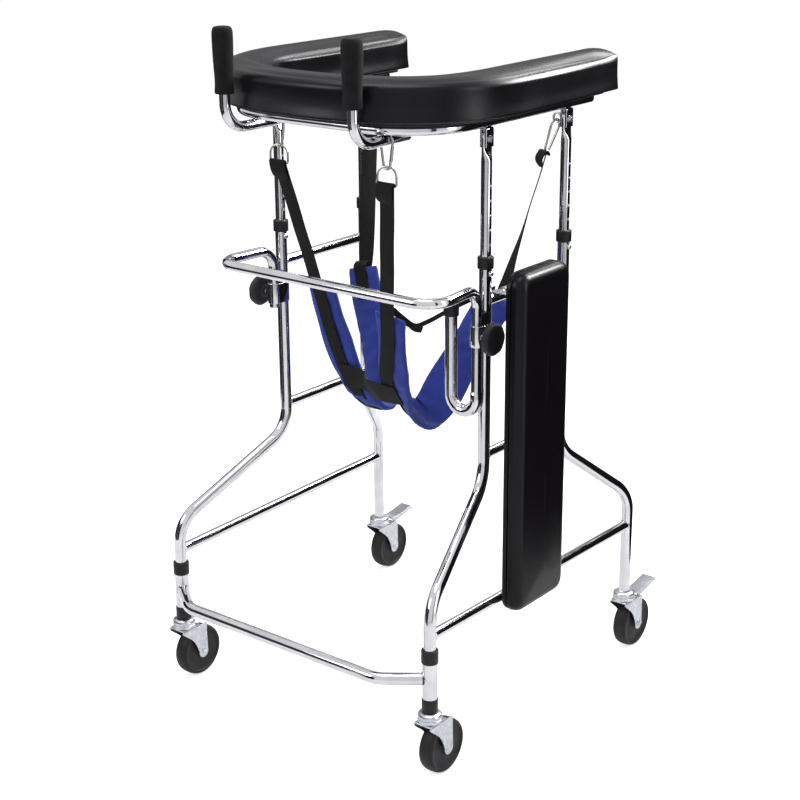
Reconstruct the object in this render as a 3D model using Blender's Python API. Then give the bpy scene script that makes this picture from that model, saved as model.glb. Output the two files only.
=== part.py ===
"""Standing and walking frame: four casters, telescoping posts, arm pad, sling, handrail, seat board.

Metres, +Z up. X runs across the frame, and +Y points to the open side that the user steps in from.
Each piece is laid out from the point on the floor in the middle between the four legs. At the end
the whole walker is set down with the origin on the floor below the middle of its outline.
"""
import math

import bmesh
import bpy
from mathutils import Matrix, Vector

# Clearances
GAP = 0.0003            # between pieces that touch or are fastened together
SLIDE_GAP = 0.0004      # between a tube and the tube that slides in it
HINGE_GAP = 0.0003      # between a pin and its hole

# Tubes, outer diameters
FRAME_TUBE = 0.0222
RAIL_TUBE = 0.0190
SLEEVE_WALL = 0.0011
TUBE_WALL = 0.0012
HOLDER_TUBE = 0.0222
TUBE_SIDES = 10
BORE_SIDES = 8              # of bores that nothing slides in
BEND_STEPS = 4
LEG_BEND_STEPS = 3
VENT = 0.0050               # drain hole from a rail into the upright that it is welded to
WELD = 0.0010               # how deep a welded piece reaches into the tube that carries it

# Base: where the four legs stand
WHEELBASE = 0.622
FRONT_LEG_X = 0.2985
REAR_LEG_X = 0.3135
FRONT_LEG_REACH = 0.2422    # from a front post forward to its leg
POST_SPACING = 0.2456       # from the front posts back to the rear posts
POST_X = 0.2355
LEG_BEND_RADIUS = 0.070
FRONT_BEND_TOP = 0.464      # corner heights of the two bends in each leg
FRONT_BEND_LOW = 0.328
REAR_BEND_TOP = 0.455
REAR_BEND_LOW = 0.338
LEG_BOTTOM = 0.1323
LEG_TOP = 0.877

# Side rails
UPPER_RAIL_Z = 0.800
MIDDLE_RAIL_Z = 0.515
LOW_RAIL_Z = 0.273

# Front crossbar, its sleeves and the plastic rings above and below them
CROSSBAR_Z = 0.192
CROSSBAR_REACH = 0.055      # how far the bar stands in front of the legs
CROSSBAR_STRAIGHT = 0.225   # half length up to the corner of its bend
CROSSBAR_BEND_RADIUS = 0.050
SLEEVE_BOTTOM = 0.1560
SLEEVE_LENGTH = 0.0675
LINER_WALL = 0.0005         # plastic bush between sleeve and leg, with a ring above and below
STOP_RING_HEIGHT = 0.0250
STOP_RING_RADIUS = 0.0150
BUSH_BOTTOM = 0.1300
BUSH_RADIUS = 0.0143

# Telescoping posts
POST_TUBE = 0.0190
POST_BOTTOM = 0.676
POST_FLAT_START_DROP = 0.0660   # below the arm tube's middle line, like the next two
POST_FLAT_FULL_DROP = 0.0440
POST_TOP_DROP = 0.0175
POST_FLAT_THICKNESS = 0.0070
POST_FLAT_WIDTH = 0.0250
HOLE_PITCH = 0.0254
HOLES_ABOVE_PIN = 6
HOLES_BELOW_PIN = 3
HOLE_DIAMETER = 0.0062
PIN_Z = 0.8490
PIN_SHAFT = 0.0052
PIN_HEAD = 0.0100
PIN_HEAD_HEIGHT = 0.0036
COLLAR_HEIGHT = 0.0210
COLLAR_WALL = 0.0028
COLLAR_LIP = 0.0018

# Arm frame under the pad
ARM_TUBE_Z = 1.1100
ARM_TUBE_FRONT = 0.2375     # from the base middle forward to the front of the tube
ARM_TUBE_REAR = 0.250       # from the base middle back to the tube's open ends
ARM_BEND_RADIUS = 0.125
BRACKET_WIDTH = 0.0220
BRACKET_EAR = 0.0030
BRACKET_DROP = 0.0300
BOLT_DROP = 0.0285          # below the arm tube's middle line
BOLT_DIAMETER = 0.0060
BOLT_HEAD = 0.0110
BOLT_HEAD_HEIGHT = 0.0035
EYE_RADIUS = 0.0080
EYE_WIRE = 0.0042

# Arm pad and its board
BOARD_THICKNESS = 0.0060
BOARD_INSET = 0.0180
PAD_THICKNESS = 0.0640
PAD_CROWN = 0.0070
PAD_HALF_WIDTH = 0.298
PAD_INNER_HALF = 0.192
PAD_FRONT = 0.302           # from the base middle
PAD_INNER_FRONT = 0.222
PAD_REAR = 0.273
PAD_REAR_HALF = 0.284       # half width at the arms' rear ends, which lean inward a little
PAD_CURVE_START = 0.045     # the curved front begins this far ahead of the base middle
PAD_OUTER_CURVE = 0.87      # 1 gives an ellipse, less gives squarer corners
PAD_INNER_CURVE = 0.82
PAD_END_ROUND = 0.009
BOARD_END_ROUND = 0.010
PAD_EDGE_ROUND = 0.014
PAD_DRAW_IN = 0.0030        # how far the sides pull in at mid height

# Grips
GRIP_X = 0.1404
GRIP_FORWARD = 0.304        # from the base middle
GRIP_TUBE_DROP = 0.0195     # below the arm tube's middle line
GRIP_TUBE_REAR = 0.165
GRIP_BEND_RADIUS = 0.045
GRIP_RISE = 0.0615          # from the grip tube's middle line up to the foam
GRIP_LENGTH = 0.112
GRIP_DIAMETER = 0.0360
GRIP_WAIST = 0.0310
GRIP_CAP = 0.0080
STANDOFF_FROM_END = 0.025   # from the tube's open end to the block
STANDOFF_LENGTH = 0.025
STANDOFF_WIDTH = 0.022

# Handrail
RAIL_CLEAR = 0.0036         # clear space between a post and the handrail leg in front of it
HANDRAIL_TUBE = 0.0190
HANDRAIL_Z = 0.827
HANDRAIL_REACH = 0.139
HANDRAIL_FLARE = 0.0150
HANDRAIL_TOP_RADIUS = 0.035
HANDRAIL_CORNER_RADIUS = 0.045
HANDRAIL_LEFT_END = 0.7150
HOLDER_SPACING = 0.0550
HOLDER_TOP = 0.785
HOLDER_STEP = 0.0030
HOLDER_CORNER_Z = 0.600
HOLDER_BEND_RADIUS = 0.0274
HOLDER_STRAIGHT = 0.0096    # wide part of the handrail's right leg above the hook's bend
CAP_HEIGHT = 0.0270
CAP_WALL = 0.0024
CAP_RIM = 0.0120
CLAMP_Z = 0.742
CLAMP_HEIGHT = 0.0380
CLAMP_WALL = 0.0015
SPACER_HEIGHT = 0.0600
SCREW_DIAMETER = 0.0060
CLAMP_NUT = 0.0120
CLAMP_NUT_HEIGHT = 0.0050
KNOB_DIAMETER = 0.0580
KNOB_THICKNESS = 0.0180
KNOB_LOBES = 7
KNOB_LOBE_STEPS = 3
KNOB_LOBE_DEPTH = 0.0030
KNOB_STAND_OFF = 0.0255     # from the handrail leg's centre to the knob's inner face

# Casters
WHEEL_DIAMETER = 0.1000
WHEEL_WIDTH = 0.0290
WHEEL_TRAIL = 0.0330
AXLE_DIAMETER = 0.0080
AXLE_HEAD = 0.0130
AXLE_HEAD_HEIGHT = 0.0040
FORK_SIDE = 0.0025
FORK_INSIDE = 0.0160        # half the space between the fork's sides
FORK_TOP = 0.1115
FORK_PLATE = 0.0028
HEAD_RADIUS = 0.0215
HEAD_TOP = 0.1275
STEM_TOP = 0.1750
NUT_RADIUS = 0.0106
KINGPIN = 0.0100
RIVET = 0.0160
RIVET_HEIGHT = 0.0025
CUP_ROUND = 0.0060
WHEEL_SIDES = 18
FORK_FOOT = 0.0095          # radius of the fork's end round the axle
FORK_NOSE = 0.0170          # how far the fork's front edge drops before it sweeps back
FORK_THROAT = 0.0320        # depth below the plate where the front edge passes under the stem
PEDAL_WIDTH = 0.0280
PEDAL_FROM_HEAD = 0.0070    # clear space behind the head's cup
PEDAL_TIP = 0.1010          # from the stem's axis
PEDAL_THICKNESS = 0.0026
PEDAL_UNDERSIDE = 0.1150
PEDAL_RISE = 0.0085
PEDAL_HUB = 0.0084
PEDAL_PIVOT_TRAIL = 0.0370
PEDAL_PIVOT_Z = 0.1050
PEDAL_PIVOT_PIN = 0.0040

# Seat board, hung on the right upper rail
SEAT_FRONT = 0.125          # from the base middle
SEAT_WIDTH = 0.156
SEAT_TOP = 0.872
SEAT_LENGTH = 0.622
SEAT_BOARD = 0.0090
SEAT_PAD = 0.0260
SEAT_CORNER = 0.030
SEAT_EDGE_ROUND = 0.013
SEAT_CROWN = 0.004
HOOK_WIDTH = 0.0180
HOOK_THICKNESS = 0.0025
HOOK_FLANGE = 0.0400
HOOK_FROM_POST = 0.0300     # from the front post's axis back to the middle of the front hook
HOOK_SPACING = 0.0350

# Sling
STRAP_WIDTH = 0.0300
STRAP_THICKNESS = 0.0024
STRAP_TWIST = ((1, 0, 0), (0.62, -0.78, 0), (0.62, -0.78, 0), (0.62, -0.78, 0))   # right rear run, upward
STRAP_RISE = (0.30, 0.65)   # shares of the rear run where its middle points are
SLING_PAD_WIDTH = 0.0740
SLING_PAD_THICKNESS = 0.0160
SLING_PAD_CROWN = 0.0030
SLING_PAD_LEFT_PATH = ((-0.122, -0.086, 0.770), (-0.113, -0.068, 0.695), (-0.095, -0.048, 0.610),
                       (-0.072, -0.022, 0.548), (-0.066, 0.010, 0.530), (-0.085, 0.042, 0.556),
                       (-0.115, 0.062, 0.615), (-0.140, 0.073, 0.685), (-0.160, 0.080, 0.768))
SLING_PAD_RIGHT_PATH = ((0.090, -0.150, 0.765), (0.074, -0.124, 0.697), (0.053, -0.092, 0.622),
                        (0.042, -0.048, 0.558), (0.046, -0.008, 0.527), (0.055, 0.028, 0.541),
                        (0.076, 0.050, 0.600), (0.112, 0.066, 0.678), (0.155, 0.090, 0.762))
CROSS_STRAP_WIDTH = 0.0340
CROSS_STRAP_OFFSET = 0.0010
CROSS_STRAP_Z = 0.600
CROSS_STRAP_PAST = 0.0410   # flat this far from a strap's middle, so that it clears the pad's edge
CROSS_STRAP_SAG = 0.0040
CARABINER_WIRE = 0.0042
CARABINER_TOP_RADIUS = 0.0128
CARABINER_LOW_RADIUS = 0.0070
FRONT_CARABINER_FROM_END = {"left": 0.0070, "right": 0.0535}   # from the grip tube's open end forward
FRONT_CARABINER_DROP = 0.0485   # from the grip tube's middle line down to the link's lowest point
REAR_CARABINER_X = 0.204    # lowest point of the right rear link, the left one mirrors it
REAR_CARABINER_Y = 0.161
REAR_CARABINER_DROP = 0.0880

# Derived places
FRONT_LEG_Y = -WHEELBASE / 2
REAR_LEG_Y = WHEELBASE / 2
FRONT_POST_Y = FRONT_LEG_Y + FRONT_LEG_REACH
REAR_POST_Y = FRONT_POST_Y + POST_SPACING
FRAME_RADIUS = FRAME_TUBE / 2
RAIL_RADIUS = RAIL_TUBE / 2
POST_RADIUS = POST_TUBE / 2
FRAME_BORE = FRAME_RADIUS - TUBE_WALL
HANDRAIL_RADIUS = HANDRAIL_TUBE / 2
HOLDER_SOCKET = HOLDER_CORNER_Z + HOLDER_BEND_RADIUS + HOLDER_STRAIGHT
HOLDER_RADIUS = HOLDER_TUBE / 2
HANDRAIL_Y = FRONT_POST_Y - FRAME_RADIUS - RAIL_CLEAR - HANDRAIL_RADIUS
POST_FLAT_START = ARM_TUBE_Z - POST_FLAT_START_DROP
POST_FLAT_FULL = ARM_TUBE_Z - POST_FLAT_FULL_DROP
POST_TOP = ARM_TUBE_Z - POST_TOP_DROP
BOLT_Z = ARM_TUBE_Z - BOLT_DROP
GRIP_TUBE_Z = ARM_TUBE_Z - GRIP_TUBE_DROP
GRIP_BOTTOM = GRIP_TUBE_Z + GRIP_RISE
FRONT_CARABINER_LOW = GRIP_TUBE_Z - FRONT_CARABINER_DROP
REAR_CARABINER_END = (REAR_CARABINER_X, REAR_CARABINER_Y, ARM_TUBE_Z - REAR_CARABINER_DROP)
BOARD_BOTTOM = ARM_TUBE_Z + RAIL_RADIUS + GAP
PAD_BOTTOM = BOARD_BOTTOM + BOARD_THICKNESS + GAP
GRIP_Y = -GRIP_FORWARD
SEAT_REAR = -SEAT_FRONT + SEAT_WIDTH
LOW_RAIL_SPLAY = (REAR_LEG_X - FRONT_LEG_X) / WHEELBASE
SEAT_X = FRONT_LEG_X + LOW_RAIL_SPLAY * (SEAT_REAR - FRONT_LEG_Y) + RAIL_RADIUS + GAP
AXLE_Z = WHEEL_DIAMETER / 2
SLEEVE_BORE = FRAME_RADIUS + GAP + LINER_WALL + GAP
SLEEVE_RADIUS = SLEEVE_BORE + SLEEVE_WALL
SIDES = {"left": -1, "right": 1}


def material(name, colour, roughness, metallic=0.0):
    """A Principled material with one colour, roughness and metallic value."""
    made = bpy.data.materials.new(name)
    made.use_nodes = True
    shader = made.node_tree.nodes["Principled BSDF"]
    shader.inputs["Base Color"].default_value = (*colour, 1.0)
    shader.inputs["Roughness"].default_value = roughness
    shader.inputs["Metallic"].default_value = metallic
    return made


def chrome(name):
    return material(name, (0.80, 0.80, 0.82), 0.08, 1.0)


def zinc(name):
    return material(name, (0.62, 0.64, 0.67), 0.32, 1.0)


def black_plastic(name):
    return material(name, (0.022, 0.022, 0.025), 0.50)


def add_object(name, mesh_builder, finish, origin=(0.0, 0.0, 0.0)):
    """One named object from a bmesh, with its origin at the given point and its own material."""
    bmesh.ops.recalc_face_normals(mesh_builder, faces=mesh_builder.faces)
    bmesh.ops.translate(mesh_builder, vec=-Vector(origin), verts=mesh_builder.verts)
    mesh = bpy.data.meshes.new(name)
    mesh_builder.to_mesh(mesh)
    mesh_builder.free()
    mesh.shade_smooth()
    mesh.set_sharp_from_angle(angle=math.radians(35))
    mesh.materials.append(finish(name + "_finish"))
    made = bpy.data.objects.new(name, mesh)
    made.location = origin
    bpy.context.scene.collection.objects.link(made)
    return made


def combine(target, builder, operation):
    """Adds the closed body of a bmesh to an object, or cuts it out, and keeps the result."""
    bmesh.ops.recalc_face_normals(builder, faces=builder.faces)
    tool_mesh = bpy.data.meshes.new("tool")
    builder.to_mesh(tool_mesh)
    builder.free()
    tool = bpy.data.objects.new("tool", tool_mesh)
    bpy.context.scene.collection.objects.link(tool)
    change = target.modifiers.new("change", "BOOLEAN")
    change.operation = operation
    change.solver = "EXACT"
    change.object = tool
    bpy.context.view_layer.update()
    evaluated = target.evaluated_get(bpy.context.evaluated_depsgraph_get())
    result = bpy.data.meshes.new_from_object(evaluated)
    target.modifiers.remove(change)
    target.data = result
    result.name = target.name
    result.shade_smooth()
    result.set_sharp_from_angle(angle=math.radians(35))
    bpy.data.objects.remove(tool)


def cut_away(target, builder):
    combine(target, builder, "DIFFERENCE")


def weld_on(target, builder):
    combine(target, builder, "UNION")


def rounded_path(corners, radii, steps=BEND_STEPS):
    """Points along straight runs whose inner corners are rounded to the given radii."""
    corners = [Vector(corner) for corner in corners]
    points = [corners[0]]
    for index, radius in enumerate(radii, start=1):
        corner = corners[index]
        to_last = (corners[index - 1] - corner).normalized()
        to_next = (corners[index + 1] - corner).normalized()
        half = to_last.angle(to_next) / 2
        middle = corner + (to_last + to_next).normalized() * radius / math.sin(half)
        start = corner + to_last * radius / math.tan(half) - middle
        end = corner + to_next * radius / math.tan(half) - middle
        turn = start.angle(end)
        for step in range(steps + 1):
            share = step / steps
            first = math.sin((1 - share) * turn) / math.sin(turn)
            second = math.sin(share * turn) / math.sin(turn)
            points.append(middle + start * first + end * second)
    points.append(corners[-1])
    return points


def smooth_path(points, per_span):
    """A Catmull-Rom curve through the given points, with per_span steps between neighbours."""
    points = [Vector(point) for point in points]
    padded = [2 * points[0] - points[1]] + points + [2 * points[-1] - points[-2]]
    curve = []
    for index in range(1, len(padded) - 2):
        before, start, end, after = padded[index - 1:index + 3]
        for step in range(per_span):
            t = step / per_span
            curve.append(0.5 * (2 * start + (end - before) * t
                                + (2 * before - 5 * start + 4 * end - after) * t * t
                                + (3 * start - before - 3 * end + after) * t ** 3))
    curve.append(points[-1])
    return curve


def path_frames(points, side, closed=False):
    """For each point of a path, its place and two directions across it, carried along smoothly."""
    frames = []
    count = len(points)
    side = Vector(side)
    for index, point in enumerate(points):
        if closed:
            along = points[(index + 1) % count] - points[index - 1]
        else:
            along = points[min(index + 1, count - 1)] - points[max(index - 1, 0)]
        along.normalize()
        side = (side - along * side.dot(along)).normalized()
        frames.append((point, side, along.cross(side)))
    return frames


def circle(radius, sides=TUBE_SIDES):
    """A round section, as offsets across a path."""
    return [(radius * math.cos(2 * math.pi * k / sides), radius * math.sin(2 * math.pi * k / sides))
            for k in range(sides)]


def add_ring(builder, frame, section):
    point, side, across = frame
    return [builder.verts.new(point + side * u + across * v) for u, v in section]


def bridge(builder, first, second):
    """Faces between two rings with the same number of points."""
    count = len(first)
    for k in range(count):
        after = (k + 1) % count
        builder.faces.new((first[k], first[after], second[after], second[k]))


def add_rod(builder, frames, sections, closed=False):
    """A solid swept along frames, whose section may change from frame to frame."""
    rings = [add_ring(builder, frame, section) for frame, section in zip(frames, sections)]
    for first, second in zip(rings, rings[1:]):
        bridge(builder, first, second)
    if closed:
        bridge(builder, rings[-1], rings[0])
    else:
        builder.faces.new(rings[0])
        builder.faces.new(rings[-1])


def add_wire_loop(builder, points, side, wire, sides=6):
    """A closed loop of round wire."""
    frames = path_frames(points, side, closed=True)
    add_rod(builder, frames, [circle(wire / 2, sides)] * len(points), closed=True)


def add_turned(builder, profile, place, axis, sides=TUBE_SIDES, side=None):
    """A body turned from a closed outline of (radius, distance along the axis) points."""
    axis = Vector(axis).normalized()
    side = Vector(side) if side else axis.orthogonal()
    side = (side - axis * side.dot(axis)).normalized()
    across = axis.cross(side)
    rings = []
    for radius, height in profile:
        centre = Vector(place) + axis * height
        if radius == 0:
            rings.append([builder.verts.new(centre)])
        else:
            rings.append(add_ring(builder, (centre, side, across), circle(radius, sides)))
    pairs = list(zip(rings, rings[1:] + rings[:1]))
    for first, second in pairs:
        if len(first) == 1 and len(second) == 1:
            continue
        if len(first) > 1 and len(second) > 1:
            bridge(builder, first, second)
            continue
        pole, ring = (first, second) if len(first) == 1 else (second, first)
        for k in range(sides):
            builder.faces.new((pole[0], ring[k], ring[(k + 1) % sides]))


def rod_profile(radius, start, end):
    return [(0, start), (radius, start), (radius, end), (0, end)]


def add_cylinder(builder, radius, start, end, sides=TUBE_SIDES, side=None):
    """A plain round rod between two points."""
    axis = Vector(end) - Vector(start)
    add_turned(builder, rod_profile(radius, 0, axis.length), start, axis, sides, side)


def add_box(builder, low, high):
    low = Vector(low)
    high = Vector(high)
    size = Matrix.Diagonal((*(high - low), 1))
    bmesh.ops.create_cube(builder, size=1, matrix=Matrix.Translation((low + high) / 2) @ size)


def add_slab(builder, outline, thickness_axis, start, end):
    """An outline pushed along one axis; its points give the other two coordinates in order."""
    def place(pair, depth):
        values = list(pair)
        values.insert(thickness_axis, depth)
        return builder.verts.new(values)
    near = [place(pair, start) for pair in outline]
    far = [place(pair, end) for pair in outline]
    bridge(builder, near, far)
    builder.faces.new(near)
    builder.faces.new(far)


def arc(centre, radius, start, end, steps):
    """Points on an arc in a plane, angles in degrees."""
    points = []
    for step in range(steps + 1):
        angle = math.radians(start + (end - start) * step / steps)
        points.append((centre[0] + radius * math.cos(angle), centre[1] + radius * math.sin(angle)))
    return points


def leg_corners(sign, front):
    """Corner points of a leg's centre line, from its top down."""
    post_y = FRONT_POST_Y if front else REAR_POST_Y
    leg_x = sign * (FRONT_LEG_X if front else REAR_LEG_X)
    leg_y = FRONT_LEG_Y if front else REAR_LEG_Y
    high = FRONT_BEND_TOP if front else REAR_BEND_TOP
    low = FRONT_BEND_LOW if front else REAR_BEND_LOW
    return [(sign * POST_X, post_y, LEG_TOP), (sign * POST_X, post_y, high),
            (leg_x, leg_y, low), (leg_x, leg_y, LEG_BOTTOM)]


def extended(path, length):
    """A path whose two ends are moved outward by a length, for a cutter that runs right through."""
    first = path[0] + (path[0] - path[1]).normalized() * length
    last = path[-1] + (path[-1] - path[-2]).normalized() * length
    return [first] + path[1:-1] + [last]


def add_round_bar(builder, path, radius, side=(0, 0, 1), sides=TUBE_SIDES):
    """A solid round bar along a path."""
    frames = path_frames(path, side)
    add_rod(builder, frames, [circle(radius, sides)] * len(frames))


def rail_ends(sign):
    """Front point, rear point of each rail on one side, on the axes of the uprights it joins."""
    ends = []
    for height in (UPPER_RAIL_Z, MIDDLE_RAIL_Z):
        ends.append((Vector((sign * POST_X, FRONT_POST_Y, height)),
                     Vector((sign * POST_X, REAR_POST_Y, height))))
    ends.append((Vector((sign * FRONT_LEG_X, FRONT_LEG_Y, LOW_RAIL_Z)),
                 Vector((sign * REAR_LEG_X, REAR_LEG_Y, LOW_RAIL_Z))))
    return ends


def make_side_frames():
    """Each side: front and rear leg tubes with three rails welded between them."""
    for side_name, sign in SIDES.items():
        paths = [rounded_path(leg_corners(sign, front), [LEG_BEND_RADIUS] * 2, LEG_BEND_STEPS)
                 for front in (True, False)]
        builder = bmesh.new()
        add_round_bar(builder, paths[0], FRAME_RADIUS, side=(1, 0, 0))
        side_frame = add_object(f"side_frame_{side_name}", builder, chrome)
        for front, rear in rail_ends(sign):
            rail = bmesh.new()
            add_round_bar(rail, [front, rear], RAIL_RADIUS)
            weld_on(side_frame, rail)
        rear_leg = bmesh.new()
        add_round_bar(rear_leg, paths[1], FRAME_RADIUS, side=(1, 0, 0))
        weld_on(side_frame, rear_leg)
        for path in paths:
            bore = bmesh.new()
            add_round_bar(bore, extended(path, FRAME_TUBE), FRAME_BORE, side=(1, 0, 0))
            cut_away(side_frame, bore)
        for front, rear in rail_ends(sign):
            along = rear - front
            wall = FRAME_RADIUS + TUBE_WALL
            profile = [(0, 0), (VENT / 2, 0), (VENT / 2, wall), (RAIL_RADIUS - TUBE_WALL, wall),
                       (RAIL_RADIUS - TUBE_WALL, along.length - wall), (VENT / 2, along.length - wall),
                       (VENT / 2, along.length), (0, along.length)]
            bore = bmesh.new()
            add_turned(bore, profile, front, along, BORE_SIDES, side=(0, 0, 1))
            cut_away(side_frame, bore)
        for post_y in (FRONT_POST_Y, REAR_POST_Y):
            hole = bmesh.new()
            centre = Vector((sign * POST_X, post_y, PIN_Z))
            add_cylinder(hole, HOLE_DIAMETER / 2, centre, centre + Vector((FRAME_TUBE, 0, 0)), 8)
            cut_away(side_frame, hole)


def make_crossbar():
    """The low front bar, bent back at both ends and welded to sleeves that turn on the front legs."""
    bar_y = FRONT_LEG_Y - CROSSBAR_REACH
    corners = [(-FRONT_LEG_X, FRONT_LEG_Y, CROSSBAR_Z), (-CROSSBAR_STRAIGHT, bar_y, CROSSBAR_Z),
               (CROSSBAR_STRAIGHT, bar_y, CROSSBAR_Z), (FRONT_LEG_X, FRONT_LEG_Y, CROSSBAR_Z)]
    path = rounded_path(corners, [CROSSBAR_BEND_RADIUS] * 2, 4)
    builder = bmesh.new()
    add_round_bar(builder, path, FRAME_RADIUS)
    bar = add_object("front_crossbar", builder, chrome)
    for sign in SIDES.values():
        low = Vector((sign * FRONT_LEG_X, FRONT_LEG_Y, SLEEVE_BOTTOM))
        sleeve = bmesh.new()
        add_cylinder(sleeve, SLEEVE_RADIUS, low, low + Vector((0, 0, SLEEVE_LENGTH)), side=(1, 0, 0))
        weld_on(bar, sleeve)
    for sign in SIDES.values():
        low = Vector((sign * FRONT_LEG_X, FRONT_LEG_Y, 0))
        bore = bmesh.new()
        add_cylinder(bore, SLEEVE_BORE, low, low + Vector((0, 0, LEG_BEND_RADIUS + CROSSBAR_Z)),
                     side=(1, 0, 0))
        cut_away(bar, bore)
    hollow = bmesh.new()
    add_round_bar(hollow, path, FRAME_BORE, sides=BORE_SIDES)
    cut_away(bar, hollow)


def make_sleeve_bushes():
    """Black bushes in the sleeves, each with a ring that shows above and below its sleeve."""
    bore = FRAME_RADIUS + GAP
    liner = bore + LINER_WALL
    ring_bottom = SLEEVE_BOTTOM + SLEEVE_LENGTH + GAP
    bush_top = SLEEVE_BOTTOM - GAP
    profile = [(bore, BUSH_BOTTOM), (BUSH_RADIUS, BUSH_BOTTOM), (BUSH_RADIUS, bush_top),
               (liner, bush_top), (liner, ring_bottom), (STOP_RING_RADIUS, ring_bottom),
               (STOP_RING_RADIUS, ring_bottom + STOP_RING_HEIGHT), (bore, ring_bottom + STOP_RING_HEIGHT)]
    for side_name, sign in SIDES.items():
        builder = bmesh.new()
        add_turned(builder, profile, (sign * FRONT_LEG_X, FRONT_LEG_Y, 0), (0, 0, 1), side=(1, 0, 0))
        add_object(f"sleeve_bush_{side_name}", builder, black_plastic)


def make_post_collars():
    """Black rings on the leg tops that guide the upper posts."""
    leg_bore = FRAME_RADIUS + GAP
    post_bore = POST_RADIUS + GAP
    top = LEG_TOP + COLLAR_LIP
    outer = leg_bore + COLLAR_WALL
    profile = [(leg_bore, top - COLLAR_HEIGHT), (outer, top - COLLAR_HEIGHT), (outer, top),
               (post_bore, top), (post_bore, LEG_TOP + GAP), (leg_bore, LEG_TOP + GAP)]
    for end_name, side_name, sign, post_y in posts():
        builder = bmesh.new()
        add_turned(builder, profile, (sign * POST_X, post_y, 0), (0, 0, 1), side=(1, 0, 0))
        add_object(f"post_collar_{end_name}_{side_name}", builder, black_plastic)


def make_upper_posts():
    """Inner tubes with a row of holes, pressed flat at the top for the pad bracket."""
    flat = [(u * POST_FLAT_THICKNESS / POST_TUBE, v * POST_FLAT_WIDTH / POST_TUBE)
            for u, v in circle(POST_RADIUS)]
    round_section = circle(POST_RADIUS)
    bore_section = circle(POST_RADIUS - TUBE_WALL)
    outside = [(POST_BOTTOM, round_section), (POST_FLAT_START, round_section),
               (POST_FLAT_FULL, flat), (POST_TOP, flat)]
    inside = [(POST_BOTTOM, bore_section), (POST_FLAT_START - TUBE_WALL, bore_section)]
    for end_name, side_name, sign, post_y in posts():
        builder = bmesh.new()
        walls = []
        for levels in (outside, inside):
            rings = []
            for height, section in levels:
                centre = Vector((sign * POST_X, post_y, height))
                rings.append(add_ring(builder, (centre, Vector((1, 0, 0)), Vector((0, 1, 0))), section))
            for first, second in zip(rings, rings[1:]):
                bridge(builder, first, second)
            walls.append(rings)
        bridge(builder, walls[0][0], walls[1][0])
        builder.faces.new(walls[0][-1])
        builder.faces.new(walls[1][-1])
        post = add_object(f"upper_post_{end_name}_{side_name}", builder, chrome)
        for index in range(-HOLES_BELOW_PIN, HOLES_ABOVE_PIN + 1):
            centre = Vector((sign * POST_X, post_y, PIN_Z + index * HOLE_PITCH))
            hole = bmesh.new()
            add_cylinder(hole, HOLE_DIAMETER / 2, centre, centre + Vector((POST_TUBE, 0, 0)), 6)
            cut_away(post, hole)
        cut_bolt_hole(post, sign, post_y)


def cut_bolt_hole(target, sign, post_y):
    """A clearance hole for a bracket bolt, along X through a post's flat end or a bracket."""
    centre = Vector((sign * POST_X, post_y, BOLT_Z))
    reach = Vector((POST_TUBE, 0, 0))
    hole = bmesh.new()
    add_cylinder(hole, BOLT_DIAMETER / 2 + GAP, centre - reach, centre + reach, 8)
    cut_away(target, hole)


def make_height_pins():
    """Domed spring pins through the leg wall, over a hole of the upper post."""
    tip = POST_RADIUS + GAP
    seat = FRAME_RADIUS + GAP
    shaft = PIN_SHAFT / 2
    head = PIN_HEAD / 2
    profile = [(0, tip), (shaft, tip), (shaft, seat), (head, seat),
               (head * 0.8, seat + PIN_HEAD_HEIGHT * 0.7), (0, seat + PIN_HEAD_HEIGHT)]
    for end_name, side_name, sign, post_y in posts():
        place = (sign * POST_X, post_y, PIN_Z)
        builder = bmesh.new()
        add_turned(builder, profile, place, (1, 0, 0), 8)
        add_object(f"height_pin_{end_name}_{side_name}", builder, zinc, place)


def arm_tube_path():
    front = -ARM_TUBE_FRONT
    rear = ARM_TUBE_REAR
    corners = [(-POST_X, rear, ARM_TUBE_Z), (-POST_X, front, ARM_TUBE_Z),
               (POST_X, front, ARM_TUBE_Z), (POST_X, rear, ARM_TUBE_Z)]
    return rounded_path(corners, [ARM_BEND_RADIUS] * 2, 6)


def make_arm_frame():
    """The U tube under the pad, with an inverted U bracket welded on over each post."""
    path = arm_tube_path()
    builder = bmesh.new()
    add_round_bar(builder, path, RAIL_RADIUS)
    frame = add_object("arm_frame", builder, chrome)
    slot = POST_FLAT_THICKNESS / 2 + GAP
    half = slot + BRACKET_EAR
    top = ARM_TUBE_Z - RAIL_RADIUS + WELD
    inner_top = top - WELD - BRACKET_EAR
    bottom = inner_top - BRACKET_DROP
    for end_name, side_name, sign, y in posts():
        x = sign * POST_X
        outline = [(x - half, bottom), (x - half, top), (x + half, top), (x + half, bottom),
                   (x + slot, bottom), (x + slot, inner_top), (x - slot, inner_top), (x - slot, bottom)]
        bracket = bmesh.new()
        add_slab(bracket, outline, 1, y - BRACKET_WIDTH / 2, y + BRACKET_WIDTH / 2)
        weld_on(frame, bracket)
        cut_bolt_hole(frame, sign, y)
    bore = bmesh.new()
    add_round_bar(bore, extended(path, RAIL_TUBE), RAIL_RADIUS - TUBE_WALL, sides=BORE_SIDES)
    cut_away(frame, bore)


def posts():
    """End name, side name, sign of X and Y of each of the four posts."""
    return [(end_name, side_name, sign, post_y) for side_name, sign in SIDES.items()
            for end_name, post_y in (("front", FRONT_POST_Y), ("rear", REAR_POST_Y))]


def bolt_profile(half_grip):
    """A bolt with a head and a nut outside a grip of the given half length."""
    shaft = BOLT_DIAMETER / 2
    head = BOLT_HEAD / 2
    inside = half_grip + GAP
    outside = inside + BOLT_HEAD_HEIGHT
    return [(0, -outside), (head, -outside), (head, -inside), (shaft, -inside),
            (shaft, inside), (head, inside), (head, outside), (0, outside)]


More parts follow.
